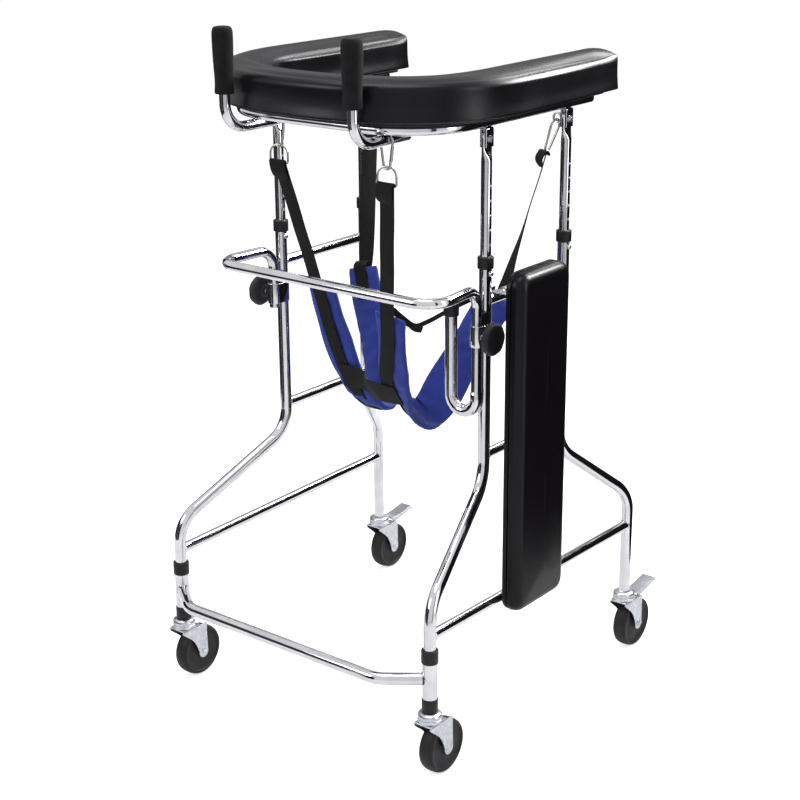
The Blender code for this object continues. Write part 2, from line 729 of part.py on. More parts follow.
def eye_centre(sign):
    """Middle of the eye on the inner end of a rear bracket bolt, which carries a rear strap."""
    grip = POST_FLAT_THICKNESS / 2 + GAP + BRACKET_EAR
    reach = grip + GAP + BOLT_HEAD_HEIGHT + EYE_RADIUS + EYE_WIRE / 2 - WELD
    return Vector((sign * (POST_X - reach), REAR_POST_Y, BOLT_Z))


def make_bracket_bolts():
    """Bolts through the brackets; the rear ones end in an eye for a rear strap's carabiner."""
    grip = POST_FLAT_THICKNESS / 2 + GAP + BRACKET_EAR
    for end_name, side_name, sign, y in posts():
        builder = bmesh.new()
        add_turned(builder, bolt_profile(grip), (sign * POST_X, y, BOLT_Z), (1, 0, 0), 8)
        bolt = add_object(f"bracket_bolt_{end_name}_{side_name}", builder, zinc)
        if end_name == "rear":
            ring = [eye_centre(sign) + Vector((u, 0, v)) for u, v in circle(EYE_RADIUS, 12)]
            eye = bmesh.new()
            add_wire_loop(eye, ring, (0, 1, 0), EYE_WIRE)
            weld_on(bolt, eye)


def pad_edges(steps):
    """Pairs of outer and inner points of the U-shaped pad, from the left end round to the right."""
    start_y = -PAD_CURVE_START
    rear_y = PAD_REAR
    outer_reach = PAD_FRONT - PAD_CURVE_START
    inner_reach = PAD_INNER_FRONT - PAD_CURVE_START
    pairs = [((-PAD_REAR_HALF, rear_y), (-PAD_INNER_HALF, rear_y))]
    for step in range(steps + 1):
        angle = math.pi * step / steps
        sine = math.sin(angle) if 0 < step < steps else 0
        outward = math.copysign(1, math.cos(angle))
        cosine = abs(math.cos(angle))
        outer = (-PAD_HALF_WIDTH * outward * cosine ** PAD_OUTER_CURVE,
                 start_y - outer_reach * sine ** PAD_OUTER_CURVE)
        inner = (-PAD_INNER_HALF * outward * cosine ** PAD_INNER_CURVE,
                 start_y - inner_reach * sine ** PAD_INNER_CURVE)
        pairs.append((outer, inner))
    pairs.append(((PAD_REAR_HALF, rear_y), (PAD_INNER_HALF, rear_y)))
    return pairs


def rounded_end_pairs(pairs, radius, steps, inset_outer, inset_inner, end_inset):
    """The pairs drawn in by the insets, with both ends of the U rounded in plan."""
    drawn = []
    for outer, inner in pairs:
        across = (Vector(inner) - Vector(outer)).normalized()
        drawn.append((Vector(outer) + across * inset_outer, Vector(inner) - across * inset_inner))
    for index in (0, -1):
        drawn[index] = tuple(point - Vector((0, end_inset)) for point in drawn[index])
    finished = drawn[1:-1]
    for index in (0, -1):
        outer, inner = drawn[index]
        across = (inner - outer).normalized()
        rounding = []
        for step in range(steps):
            angle = math.pi / 2 * step / steps
            back = Vector((0, radius * (1 - math.cos(angle))))
            draw = across * radius * (1 - math.sin(angle))
            rounding.append((outer + draw - back, inner - draw - back))
        rounding.append((outer - Vector((0, radius)), inner - Vector((0, radius))))
        if index == 0:
            finished = rounding + finished
        else:
            finished = finished + rounding[::-1]
    return finished


def add_u_solid(builder, pairs, section):
    """A solid between outer and inner edges; section gives (inset, height) from outer to inner."""
    rings = []
    for outer, inner in pairs:
        across = (inner - outer).normalized()
        width = (inner - outer).length
        ring = []
        for share, inset, height in section:
            flat = outer + across * (width * share + inset)
            ring.append(builder.verts.new((flat.x, flat.y, height)))
        rings.append(ring)
    for first, second in zip(rings, rings[1:]):
        bridge(builder, first, second)
    builder.faces.new(rings[0])
    builder.faces.new(rings[-1])


def make_arm_board():
    builder = bmesh.new()
    pairs = rounded_end_pairs(pad_edges(14), BOARD_END_ROUND, 3, BOARD_INSET, BOARD_INSET * 0.6, BOARD_INSET)
    top = BOARD_BOTTOM + BOARD_THICKNESS
    section = [(0, 0, BOARD_BOTTOM), (0, 0, top), (1, 0, top), (1, 0, BOARD_BOTTOM)]
    add_u_solid(builder, pairs, section)
    add_object("arm_board", builder, black_plastic)


def make_arm_pad():
    """Foam pad in one upholstered cover: crowned top, rounded upper edges, sides drawn in."""
    top = PAD_BOTTOM + PAD_THICKNESS
    shoulder = top - PAD_EDGE_ROUND
    middle = PAD_BOTTOM + PAD_THICKNESS * 0.45
    side = [(PAD_DRAW_IN * 0.4, PAD_BOTTOM), (PAD_DRAW_IN, middle), (0, shoulder),
            (PAD_EDGE_ROUND * 0.30, top - PAD_EDGE_ROUND * 0.30), (PAD_EDGE_ROUND, top)]
    section = [(0, inset, height) for inset, height in side]
    section += [(0.5, 0, top + PAD_CROWN)]
    section += [(1, -inset, height) for inset, height in reversed(side)]
    builder = bmesh.new()
    pairs = rounded_end_pairs(pad_edges(18), PAD_END_ROUND, 4, 0, 0, 0)
    add_u_solid(builder, pairs, section)
    add_object("arm_pad", builder, lambda name: material(name, (0.030, 0.030, 0.034), 0.38))


def grip_tube_path(sign):
    rear = -GRIP_TUBE_REAR
    top = GRIP_BOTTOM + GRIP_LENGTH - GRIP_CAP
    corners = [(sign * GRIP_X, GRIP_Y, top), (sign * GRIP_X, GRIP_Y, GRIP_TUBE_Z),
               (sign * GRIP_X, rear, GRIP_TUBE_Z)]
    return rounded_path(corners, [GRIP_BEND_RADIUS], 5)


def make_grip_tubes():
    """Bent tubes that hang below the pad's board on blocks and rise in front of the pad."""
    for side_name, sign in SIDES.items():
        x = sign * GRIP_X
        path = grip_tube_path(sign)
        builder = bmesh.new()
        add_round_bar(builder, path, RAIL_RADIUS, side=(1, 0, 0))
        tube = add_object(f"grip_tube_{side_name}", builder, chrome)
        rear = -GRIP_TUBE_REAR - STANDOFF_FROM_END
        block = bmesh.new()
        add_box(block, (x - STANDOFF_WIDTH / 2, rear - STANDOFF_LENGTH, GRIP_TUBE_Z),
                (x + STANDOFF_WIDTH / 2, rear, BOARD_BOTTOM - GAP))
        weld_on(tube, block)
        bore = bmesh.new()
        add_round_bar(bore, extended(path, RAIL_TUBE), RAIL_RADIUS - TUBE_WALL, (1, 0, 0), BORE_SIDES)
        cut_away(tube, bore)


def make_grips():
    """Foam grips with a waist, closed over the tube ends."""
    bore = RAIL_RADIUS + GAP
    full = GRIP_DIAMETER / 2
    waist = GRIP_WAIST / 2
    seat = GRIP_LENGTH - GRIP_CAP + GAP
    profile = [(bore, 0), (full * 0.88, 0), (full * 0.93, 0.005), (waist, GRIP_LENGTH * 0.22),
               (full * 0.96, GRIP_LENGTH * 0.50), (full, GRIP_LENGTH * 0.85),
               (full * 0.93, GRIP_LENGTH * 0.96), (full * 0.70, GRIP_LENGTH),
               (0, GRIP_LENGTH), (0, seat), (bore, seat)]
    for side_name, sign in SIDES.items():
        builder = bmesh.new()
        add_turned(builder, profile, (sign * GRIP_X, GRIP_Y, GRIP_BOTTOM), (0, 0, 1), side=(1, 0, 0))
        add_object(f"grip_{side_name}", builder, lambda name: material(name, (0.020, 0.020, 0.022), 0.85))


def make_handrail():
    """One bent bar in front of the posts; its right leg is swaged out into a hooked stick holder."""
    y = HANDRAIL_Y
    bar_y = y - HANDRAIL_REACH
    wide = POST_X + HANDRAIL_FLARE
    inner_x = POST_X - HOLDER_SPACING
    upper = rounded_path([(-POST_X, y, HANDRAIL_LEFT_END), (-POST_X, y, HANDRAIL_Z),
                          (-wide, bar_y, HANDRAIL_Z), (wide, bar_y, HANDRAIL_Z),
                          (POST_X, y, HANDRAIL_Z), (POST_X, y, HOLDER_SOCKET + HOLDER_STEP)],
                         [HANDRAIL_TOP_RADIUS, HANDRAIL_CORNER_RADIUS,
                          HANDRAIL_CORNER_RADIUS, HANDRAIL_TOP_RADIUS])
    lower = rounded_path([(POST_X, y, HOLDER_SOCKET), (POST_X, y, HOLDER_CORNER_Z),
                          (inner_x, y, HOLDER_CORNER_Z), (inner_x, y, HOLDER_TOP)],
                         [HOLDER_BEND_RADIUS] * 2)
    path = upper + lower
    radii = [HANDRAIL_RADIUS] * len(upper) + [HOLDER_RADIUS] * len(lower)
    builder = bmesh.new()
    add_rod(builder, path_frames(path, (1, 0, 0)), [circle(radius) for radius in radii])
    handrail = add_object("handrail", builder, chrome)
    bore = bmesh.new()
    add_rod(bore, path_frames(extended(path, HOLDER_TUBE), (1, 0, 0)),
            [circle(radius - TUBE_WALL, BORE_SIDES) for radius in radii])
    cut_away(handrail, bore)


def make_holder_cap():
    """Black open cap on the stick holder's mouth."""
    bore = HOLDER_RADIUS + GAP
    outer = bore + CAP_WALL
    mouth = HOLDER_RADIUS - TUBE_WALL
    top = HOLDER_TOP + CAP_RIM
    profile = [(bore, top - CAP_HEIGHT), (outer, top - CAP_HEIGHT), (outer, top), (mouth, top),
               (mouth, HOLDER_TOP + GAP), (bore, HOLDER_TOP + GAP)]
    builder = bmesh.new()
    add_turned(builder, profile, (POST_X - HOLDER_SPACING, HANDRAIL_Y, 0), (0, 0, 1), side=(1, 0, 0))
    add_object("holder_cap", builder, black_plastic)


def clamp_outline(x, radius):
    """A round-ended outline about a post and the handrail leg in front of it."""
    front = HANDRAIL_Y - HANDRAIL_RADIUS - GAP + FRAME_RADIUS + GAP
    return (arc((x, FRONT_POST_Y), radius, 0, 180, 8) + arc((x, front), radius, 180, 360, 8))


def make_clamps():
    """Steel bands with a welded nut, and black spacers between the two tubes in them."""
    bore = FRAME_RADIUS + GAP
    low = CLAMP_Z - CLAMP_HEIGHT / 2
    high = CLAMP_Z + CLAMP_HEIGHT / 2
    hole = SCREW_DIAMETER / 2 + GAP
    spacer_half = bore - 2 * GAP
    for side_name, sign in SIDES.items():
        x = sign * POST_X
        nut_start = Vector((x + sign * (bore + CLAMP_WALL / 2), HANDRAIL_Y, CLAMP_Z))
        nut_length = CLAMP_WALL / 2 + CLAMP_NUT_HEIGHT
        band = bmesh.new()
        add_slab(band, clamp_outline(x, bore + CLAMP_WALL), 2, low, high)
        band_object = add_object(f"clamp_band_{side_name}", band, chrome)
        nut = bmesh.new()
        add_cylinder(nut, CLAMP_NUT / 2, nut_start, nut_start + Vector((sign * nut_length, 0, 0)), 12)
        weld_on(band_object, nut)
        inside = bmesh.new()
        add_slab(inside, clamp_outline(x, bore), 2, low - CLAMP_HEIGHT, high + CLAMP_HEIGHT)
        cut_away(band_object, inside)
        screw_hole = bmesh.new()
        start = Vector((x + sign * HANDRAIL_RADIUS, HANDRAIL_Y, CLAMP_Z))
        add_cylinder(screw_hole, hole, start, start + Vector((sign * FRAME_TUBE, 0, 0)), 8)
        cut_away(band_object, screw_hole)
        spacer = bmesh.new()
        front = HANDRAIL_Y + hole + GAP
        add_box(spacer, (x - spacer_half, front, low), (x + spacer_half, FRONT_POST_Y, low + SPACER_HEIGHT))
        spacer_object = add_object(f"clamp_spacer_{side_name}", spacer, black_plastic)
        for radius, y in ((bore, FRONT_POST_Y), (HANDRAIL_RADIUS + GAP, HANDRAIL_Y)):
            seat = bmesh.new()
            add_cylinder(seat, radius, (x, y, low - bore), (x, y, low + SPACER_HEIGHT + bore),
                         side=(1, 0, 0))
            cut_away(spacer_object, seat)


def make_knobs():
    """Lobed knobs moulded on screws that press on the handrail legs."""
    for side_name, sign in SIDES.items():
        place = Vector((sign * POST_X, HANDRAIL_Y, CLAMP_Z))
        axis = Vector((sign, 0, 0))
        builder = bmesh.new()
        rings = []
        for share, depth in ((0.50, 0), (0.86, 0.12), (1.0, 0.42), (0.96, 0.72), (0.78, 0.92), (0.40, 1)):
            ring = []
            for step in range(KNOB_LOBES * KNOB_LOBE_STEPS):
                angle = 2 * math.pi * step / (KNOB_LOBES * KNOB_LOBE_STEPS)
                dip = KNOB_LOBE_DEPTH * (1 - math.cos(KNOB_LOBES * angle)) / 2
                radius = (KNOB_DIAMETER / 2 - dip) * share
                centre = place + axis * (KNOB_STAND_OFF + KNOB_THICKNESS * depth)
                ring.append(builder.verts.new(centre + Vector((0, radius * math.cos(angle),
                                                               radius * math.sin(angle)))))
            rings.append(ring)
        for first, second in zip(rings, rings[1:]):
            bridge(builder, first, second)
        builder.faces.new(rings[0])
        builder.faces.new(rings[-1])
        knob = add_object(f"clamp_knob_{side_name}", builder, black_plastic, place)
        screw = bmesh.new()
        add_cylinder(screw, SCREW_DIAMETER / 2, place + axis * (HANDRAIL_RADIUS + GAP),
                     place + axis * (KNOB_STAND_OFF + KNOB_THICKNESS / 2), 8)
        weld_on(knob, screw)


def caster_places():
    return [("front_left", -FRONT_LEG_X, FRONT_LEG_Y), ("front_right", FRONT_LEG_X, FRONT_LEG_Y),
            ("rear_left", -REAR_LEG_X, REAR_LEG_Y), ("rear_right", REAR_LEG_X, REAR_LEG_Y)]


def make_caster_head(name, x, y):
    """Stem, nut, bearing cup and kingpin, fixed in the leg; the fork turns below the cup."""
    stem = FRAME_BORE - GAP
    cup_bottom = FORK_TOP + GAP
    rivet_top = FORK_TOP - FORK_PLATE - GAP
    profile = [(0, STEM_TOP), (stem, STEM_TOP), (stem, LEG_BOTTOM - GAP), (NUT_RADIUS, LEG_BOTTOM - GAP),
               (NUT_RADIUS, HEAD_TOP), (HEAD_RADIUS * 0.80, HEAD_TOP), (HEAD_RADIUS, HEAD_TOP - CUP_ROUND),
               (HEAD_RADIUS, cup_bottom), (KINGPIN / 2, cup_bottom), (KINGPIN / 2, rivet_top),
               (RIVET / 2, rivet_top), (RIVET * 0.35, rivet_top - RIVET_HEIGHT),
               (0, rivet_top - RIVET_HEIGHT)]
    builder = bmesh.new()
    add_turned(builder, profile, (x, y, 0), (0, 0, 1), side=(1, 0, 0))
    add_object(f"caster_head_{name}", builder, zinc)


def fork_outline(y):
    """Side view of the fork: a plate under the cup, swept back and down to the axle."""
    axle_y = y + WHEEL_TRAIL
    web_bottom = FORK_TOP - FORK_PLATE
    shoulder = web_bottom - GAP
    points = [(y - HEAD_RADIUS * 0.95, FORK_TOP), (y - HEAD_RADIUS, FORK_TOP - FORK_NOSE * 0.4),
              (y - HEAD_RADIUS * 0.55, FORK_TOP - FORK_NOSE), (y + HEAD_RADIUS * 0.2, FORK_TOP - FORK_THROAT),
              (y + WHEEL_TRAIL / 2, AXLE_Z + FORK_FOOT * 1.6)]
    points += arc((axle_y, AXLE_Z), FORK_FOOT, 170, 375, 7)
    points += [(axle_y + FORK_FOOT * 0.95, FORK_TOP - FORK_NOSE * 1.2), (axle_y + FORK_FOOT, shoulder - FORK_PLATE),
               (axle_y + FORK_FOOT * 0.85, shoulder), (y + HEAD_RADIUS * 1.2, shoulder),
               (y + HEAD_RADIUS * 1.1, FORK_TOP)]
    return points


def make_fork(name, x, y, braked):
    """Fork with its riveted axle, and the pedal's pivot pin where there is a brake."""
    outer = FORK_INSIDE + FORK_SIDE
    builder = bmesh.new()
    add_slab(builder, fork_outline(y), 0, x - outer, x + outer)
    fork = add_object(f"caster_fork_{name}", builder, zinc, (x, y, FORK_TOP))
    inside = bmesh.new()
    add_box(inside, (x - FORK_INSIDE, y - WHEEL_DIAMETER, -AXLE_Z),
            (x + FORK_INSIDE, y + WHEEL_DIAMETER, FORK_TOP - FORK_PLATE))
    cut_away(fork, inside)
    kingpin_hole = bmesh.new()
    add_cylinder(kingpin_hole, KINGPIN / 2 + HINGE_GAP, (x, y, AXLE_Z), (x, y, HEAD_TOP), 12, side=(1, 0, 0))
    cut_away(fork, kingpin_hole)
    axle = bmesh.new()
    head = outer + AXLE_HEAD_HEIGHT
    shaft = AXLE_DIAMETER / 2
    profile = [(0, -head), (AXLE_HEAD / 2, -head), (AXLE_HEAD / 2, -outer + WELD), (shaft, -outer + WELD),
               (shaft, outer - WELD), (AXLE_HEAD / 2, outer - WELD), (AXLE_HEAD / 2, head), (0, head)]
    add_turned(axle, profile, (x, y + WHEEL_TRAIL, AXLE_Z), (1, 0, 0), 10, side=(0, 0, 1))
    weld_on(fork, axle)
    if braked:
        pin = bmesh.new()
        centre = Vector((x, y + PEDAL_PIVOT_TRAIL, PEDAL_PIVOT_Z))
        reach = Vector((outer + WELD, 0, 0))
        add_cylinder(pin, PEDAL_PIVOT_PIN / 2, centre - reach, centre + reach, 8)
        weld_on(fork, pin)


def make_wheel(name, x, y):
    """Moulded wheel with rounded shoulders and a dished face round its hub."""
    radius = WHEEL_DIAMETER / 2
    half = WHEEL_WIDTH / 2
    bore = AXLE_DIAMETER / 2 + HINGE_GAP
    face = [(bore, half), (radius * 0.28, half), (radius * 0.34, half * 0.78), (radius * 0.80, half * 0.80),
            (radius * 0.90, half * 0.97), (radius, half * 0.45)]
    profile = face + [(r, -h) for r, h in reversed(face)]
    builder = bmesh.new()
    place = (x, y + WHEEL_TRAIL, AXLE_Z)
    add_turned(builder, profile, place, (1, 0, 0), WHEEL_SIDES, side=(0, 0, 1))
    add_object(f"wheel_{name}", builder, black_plastic, place)


def rounded_rectangle(centre, half_width, half_height, radius, steps=4):
    """Outline of a rectangle with round corners, counter-clockwise."""
    points = []
    for turn, (across, up) in enumerate(((1, 1), (-1, 1), (-1, -1), (1, -1))):
        corner = (centre[0] + across * (half_width - radius), centre[1] + up * (half_height - radius))
        points += arc(corner, radius, 90 * turn, 90 * turn + 90, steps)
    return points


def make_seat():
    """Padded board that hangs beside the right frame on two steel hooks over its upper rail."""
    middle = (-SEAT_FRONT + SEAT_WIDTH / 2, SEAT_TOP - SEAT_LENGTH / 2)
    half_width = SEAT_WIDTH / 2
    half_length = SEAT_LENGTH / 2
    hinge = (POST_X, middle[0], UPPER_RAIL_Z)
    board = bmesh.new()
    outline = rounded_rectangle(middle, half_width, half_length, SEAT_CORNER)
    add_slab(board, outline, 0, SEAT_X, SEAT_X + SEAT_BOARD)
    add_object("seat_board", board, black_plastic, hinge)
    pad_back = SEAT_X + SEAT_BOARD + GAP
    pad_face = pad_back + SEAT_PAD
    levels = [(0.0015, pad_back), (0, pad_back + SEAT_PAD * 0.3), (0, pad_face - SEAT_EDGE_ROUND),
              (SEAT_EDGE_ROUND * 0.3, pad_face - SEAT_EDGE_ROUND * 0.3), (SEAT_EDGE_ROUND, pad_face),
              (SEAT_WIDTH * 0.33, pad_face + SEAT_CROWN)]
    pad = bmesh.new()
    rings = []
    for inset, depth in levels:
        ring = rounded_rectangle(middle, half_width - inset, half_length - inset,
                                 max(SEAT_CORNER - inset, SEAT_CORNER * 0.2))
        rings.append([pad.verts.new((depth, *point)) for point in ring])
    for first, second in zip(rings, rings[1:]):
        bridge(pad, first, second)
    pad.faces.new(rings[0])
    pad.faces.new(rings[-1])
    add_object("seat_pad", pad, lambda name: material(name, (0.026, 0.024, 0.026), 0.40), hinge)
    make_seat_hooks(hinge)


def make_seat_hooks(hinge):
    """Two flat steel hooks joined by a strip behind the seat board."""
    inside = RAIL_RADIUS + GAP
    outside = inside + HOOK_THICKNESS
    back = SEAT_X - GAP
    front_face = back - HOOK_THICKNESS
    rail = (POST_X, UPPER_RAIL_Z)
    top = UPPER_RAIL_Z + outside
    low = top - HOOK_FLANGE
    outline = arc(rail, outside, 195, 90, 6) + [(back, top), (back, low), (front_face, low),
                                                (front_face, UPPER_RAIL_Z + inside)]
    outline += arc(rail, inside, 90, 195, 6)
    first = FRONT_POST_Y + HOOK_FROM_POST
    second = first + HOOK_SPACING
    builder = bmesh.new()
    add_slab(builder, outline, 1, first - HOOK_WIDTH / 2, first + HOOK_WIDTH / 2)
    hooks = add_object("seat_hooks", builder, zinc, hinge)
    other = bmesh.new()
    add_slab(other, outline, 1, second - HOOK_WIDTH / 2, second + HOOK_WIDTH / 2)
    weld_on(hooks, other)
    strip = bmesh.new()
    add_box(strip, (front_face, first, low), (back, second, low + HOOK_FLANGE / 2))
    weld_on(hooks, strip)


def sling_pad_path(side_name):
    """Middle line of a thigh pad, from its front end down and up again to its rear end."""
    points = SLING_PAD_LEFT_PATH if side_name == "left" else SLING_PAD_RIGHT_PATH
    return [Vector(point) for point in points]


def ribbon_frames(points, sides):
    """Places and cross directions along a band, whose width direction is given at each point."""
    frames = []
    count = len(points)
    for index, point in enumerate(points):
        along = (points[min(index + 1, count - 1)] - points[max(index - 1, 0)]).normalized()
        side = Vector(sides[index])
        side = (side - along * side.dot(along)).normalized()
        frames.append((point, side, along.cross(side)))
    return frames


def level_frames(points):
    """Like ribbon_frames, but the band's width always lies along X, so that it never twists."""
    frames = []
    count = len(points)
    level = Vector((1, 0, 0))
    for index, point in enumerate(points):
        along = points[min(index + 1, count - 1)] - points[max(index - 1, 0)]
        frames.append((point, level, along.cross(level).normalized()))
    return frames


def band_section(width, thickness):
    return [(-width / 2, -thickness / 2), (width / 2, -thickness / 2),
            (width / 2, thickness / 2), (-width / 2, thickness / 2)]


def make_sling_pads():
    """Thigh pads: crowned towards the thigh, flat behind, thinner at both long edges."""
    width = SLING_PAD_WIDTH
    thick = SLING_PAD_THICKNESS
    section = [(-width * 0.50, 0), (-width * 0.44, -thick * 0.42), (0, -thick / 2 - SLING_PAD_CROWN),
               (width * 0.44, -thick * 0.42), (width * 0.50, 0), (width * 0.44, thick * 0.42),
               (width * 0.22, thick / 2), (-width * 0.22, thick / 2), (-width * 0.44, thick * 0.42)]
    for side_name in SIDES:
        path = smooth_path(sling_pad_path(side_name), 2)
        frames = level_frames(path)
        builder = bmesh.new()
        add_rod(builder, frames, [section] * len(frames))
        add_object(f"sling_pad_{side_name}", builder, lambda name: material(name, (0.035, 0.050, 0.36), 0.75))


def carabiner_ends(side_name, end_name):
    """Highest and lowest point of a carabiner's wire, on its middle line."""
    sign = SIDES[side_name]
    wire = CARABINER_WIRE / 2
    if end_name == "front":
        y = -GRIP_TUBE_REAR - FRONT_CARABINER_FROM_END[side_name]
        top = GRIP_TUBE_Z + RAIL_RADIUS + GAP + wire
        return Vector((sign * GRIP_X, y, top)), Vector((sign * GRIP_X, y, FRONT_CARABINER_LOW))
    eye = eye_centre(sign)
    top = eye.z - EYE_RADIUS + EYE_WIRE / 2 + GAP * 1.5 + wire
    low = REAR_CARABINER_END
    return Vector((eye.x, eye.y, top)), Vector((sign * low[0], low[1], low[2]))


def make_carabiners():
    """Pear-shaped snap links: the front ones round the grip tubes, the rear ones in the bolt eyes."""
    for side_name in SIDES:
        for end_name, normal in (("front", (0, 1, 0)), ("rear", (1, 0, 0))):
            top, low = carabiner_ends(side_name, end_name)
            down = (low - top).normalized()
            across = Vector(normal).cross(down).normalized()
            upper_middle = top + down * CARABINER_TOP_RADIUS
            lower_middle = low - down * CARABINER_LOW_RADIUS
            points = [upper_middle + across * u - down * v for u, v in arc((0, 0), CARABINER_TOP_RADIUS, 0, 180, 8)]
            points += [lower_middle - across * u + down * v
                       for u, v in arc((0, 0), CARABINER_LOW_RADIUS, 0, 180, 5)]
            builder = bmesh.new()
            add_wire_loop(builder, points, normal, CARABINER_WIRE)
            add_object(f"carabiner_{end_name}_{side_name}", builder, zinc)


def strap_frames(side_name):
    """One strap from its front link, flat along the back of its pad, up to its rear link."""
    clear = CARABINER_WIRE / 2 + 2 * GAP
    behind = SLING_PAD_THICKNESS / 2 + GAP + STRAP_THICKNESS / 2
    pad = smooth_path(sling_pad_path(side_name), 2)
    under = [(point + across * behind, side, across)
             for point, side, across in level_frames(pad)]
    front = carabiner_ends(side_name, "front")[1] - Vector((0, 0, clear))
    rear = carabiner_ends(side_name, "rear")[1] - Vector((0, 0, clear))
    front_points = [front, front.lerp(under[0][0], 0.5), under[0][0]]
    rear_points = [under[-1][0]] + [under[-1][0].lerp(rear, share) for share in STRAP_RISE] + [rear]
    twist = [(x, y * SIDES[side_name], z) for x, y, z in STRAP_TWIST]
    return (level_frames(front_points)[:2] + under
            + ribbon_frames(rear_points, twist)[1:])


def make_sling_webbing():
    """Both straps and the wide band that joins them below: one sewn piece."""
    section = band_section(STRAP_WIDTH, STRAP_THICKNESS)
    joined = None
    anchors = []
    for side_name in SIDES:
        frames = strap_frames(side_name)
        builder = bmesh.new()
        add_rod(builder, frames, [section] * len(frames))
        front_half = frames[2:len(frames) // 2]
        anchors.append(min(front_half, key=lambda frame: abs(frame[0].z - CROSS_STRAP_Z)))
        if joined is None:
            joined = add_object("sling_webbing", builder, lambda name: material(name, (0.012, 0.012, 0.014), 0.80))
        else:
            second_strap = builder
    cross_thickness = STRAP_THICKNESS * 0.8
    cross_points = []
    cross_sides = []
    for outward, (point, side, across) in zip((-1, 1), anchors):
        place = point + across * CROSS_STRAP_OFFSET
        along = side.cross(across)
        ends = [place + side * outward * STRAP_WIDTH * 0.4, place - side * outward * CROSS_STRAP_PAST]
        cross_points += ends if outward < 0 else ends[::-1]
        cross_sides += [along, along]
        if outward < 0:
            middle = (anchors[0][0] + anchors[1][0]) / 2
            cross_points.append(middle - Vector((0, 0, CROSS_STRAP_SAG)))
            cross_sides.append(along)
    band = bmesh.new()
    cross_frames = ribbon_frames(cross_points, cross_sides)
    add_rod(band, cross_frames, [band_section(CROSS_STRAP_WIDTH, cross_thickness)] * len(cross_frames))
    weld_on(joined, band)
    weld_on(joined, second_strap)


def make_pedal(name, x, y):
    """Foot lever of a rear caster's brake, which turns on the fork's pin above the wheel."""
    pivot_y = y + PEDAL_PIVOT_TRAIL
    hub = PEDAL_HUB / 2
    root = y + HEAD_RADIUS + PEDAL_FROM_HEAD
    tip = y + PEDAL_TIP
    low = PEDAL_UNDERSIDE
    lift = PEDAL_THICKNESS
    outline = arc((pivot_y, PEDAL_PIVOT_Z), hub, 150, 385, 7)
    outline += [(pivot_y + hub * 1.4, low), (pivot_y + 0.030, low + PEDAL_RISE * 0.30),
                (tip, low + PEDAL_RISE), (tip, low + PEDAL_RISE + lift),
                (pivot_y + 0.030, low + PEDAL_RISE * 0.30 + lift), (pivot_y + hub, low + lift),
                (root, low + lift), (root, low), (pivot_y - hub * 0.9, low)]
    builder = bmesh.new()
    add_slab(builder, outline, 0, x - PEDAL_WIDTH / 2, x + PEDAL_WIDTH / 2)
    pedal = add_object(f"brake_pedal_{name}", builder, zinc, (x, pivot_y, PEDAL_PIVOT_Z))
    hole = bmesh.new()
    centre = Vector((x, pivot_y, PEDAL_PIVOT_Z))
    reach = Vector((PEDAL_WIDTH, 0, 0))
    add_cylinder(hole, PEDAL_PIVOT_PIN / 2 + HINGE_GAP, centre - reach, centre + reach, 8)
    cut_away(pedal, hole)


def set_down_on_middle():
    """Moves the whole walker so that the origin lies on the floor below the middle of its outline."""
    bpy.context.view_layer.update()
    pieces = list(bpy.context.scene.collection.objects)
    corners = [piece.matrix_world @ Vector(corner) for piece in pieces for corner in piece.bound_box]
    lows = [min(corner[axis] for corner in corners) for axis in range(2)]
    highs = [max(corner[axis] for corner in corners) for axis in range(2)]
    for piece in pieces:
        for axis in range(2):
            piece.location[axis] -= (lows[axis] + highs[axis]) / 2


def main():
    for existing in list(bpy.data.objects):
        bpy.data.objects.remove(existing)
    make_side_frames()
    make_crossbar()
    make_sleeve_bushes()
    make_post_collars()
    make_upper_posts()
    make_height_pins()
    make_arm_frame()
    make_bracket_bolts()
    make_arm_board()
    make_arm_pad()
    make_grip_tubes()
    make_grips()
    make_handrail()
    make_holder_cap()
    make_clamps()
    make_knobs()
    make_seat()
    make_sling_pads()
    make_carabiners()
    make_sling_webbing()
    for name, x, y in caster_places():
        braked = name.startswith("rear")
        make_caster_head(name, x, y)
        make_fork(name, x, y, braked)
        make_wheel(name, x, y)
        if braked:
            make_pedal(name, x, y)
    set_down_on_middle()


main()
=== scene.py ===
"""A wheeled walking frame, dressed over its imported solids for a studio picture.

Its shapes are drawn in millimetres from the point on the floor midway between the four caster
stems: X runs across the frame, -Y is the way the user walks and Z is up. new_object turns them
into metres. The studio and the patterns of the finishes are in metres.
"""
import math

import bpy
import numpy as np
from mathutils import Matrix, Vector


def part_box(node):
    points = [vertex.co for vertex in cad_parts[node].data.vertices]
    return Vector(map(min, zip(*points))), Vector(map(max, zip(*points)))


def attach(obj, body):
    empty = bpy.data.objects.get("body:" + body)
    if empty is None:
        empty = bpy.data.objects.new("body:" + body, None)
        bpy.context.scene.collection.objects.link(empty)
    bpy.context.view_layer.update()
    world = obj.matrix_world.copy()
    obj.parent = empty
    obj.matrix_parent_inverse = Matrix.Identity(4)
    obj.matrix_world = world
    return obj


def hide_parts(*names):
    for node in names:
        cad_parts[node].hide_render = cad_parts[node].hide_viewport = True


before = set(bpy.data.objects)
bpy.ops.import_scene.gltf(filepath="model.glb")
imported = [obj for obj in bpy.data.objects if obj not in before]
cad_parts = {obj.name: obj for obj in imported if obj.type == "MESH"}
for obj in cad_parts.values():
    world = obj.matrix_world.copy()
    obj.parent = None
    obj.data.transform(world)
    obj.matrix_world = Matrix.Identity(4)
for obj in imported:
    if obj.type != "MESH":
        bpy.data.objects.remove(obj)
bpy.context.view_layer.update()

MM = 0.001
SIDES = {"left": -1, "right": 1}

# Tubes
FRAME_RADIUS = 11.1
SMALL_RADIUS = 9.5
TUBE_WALL = 1.2
GAP = 0.3
WELD_BEAD = 1.3

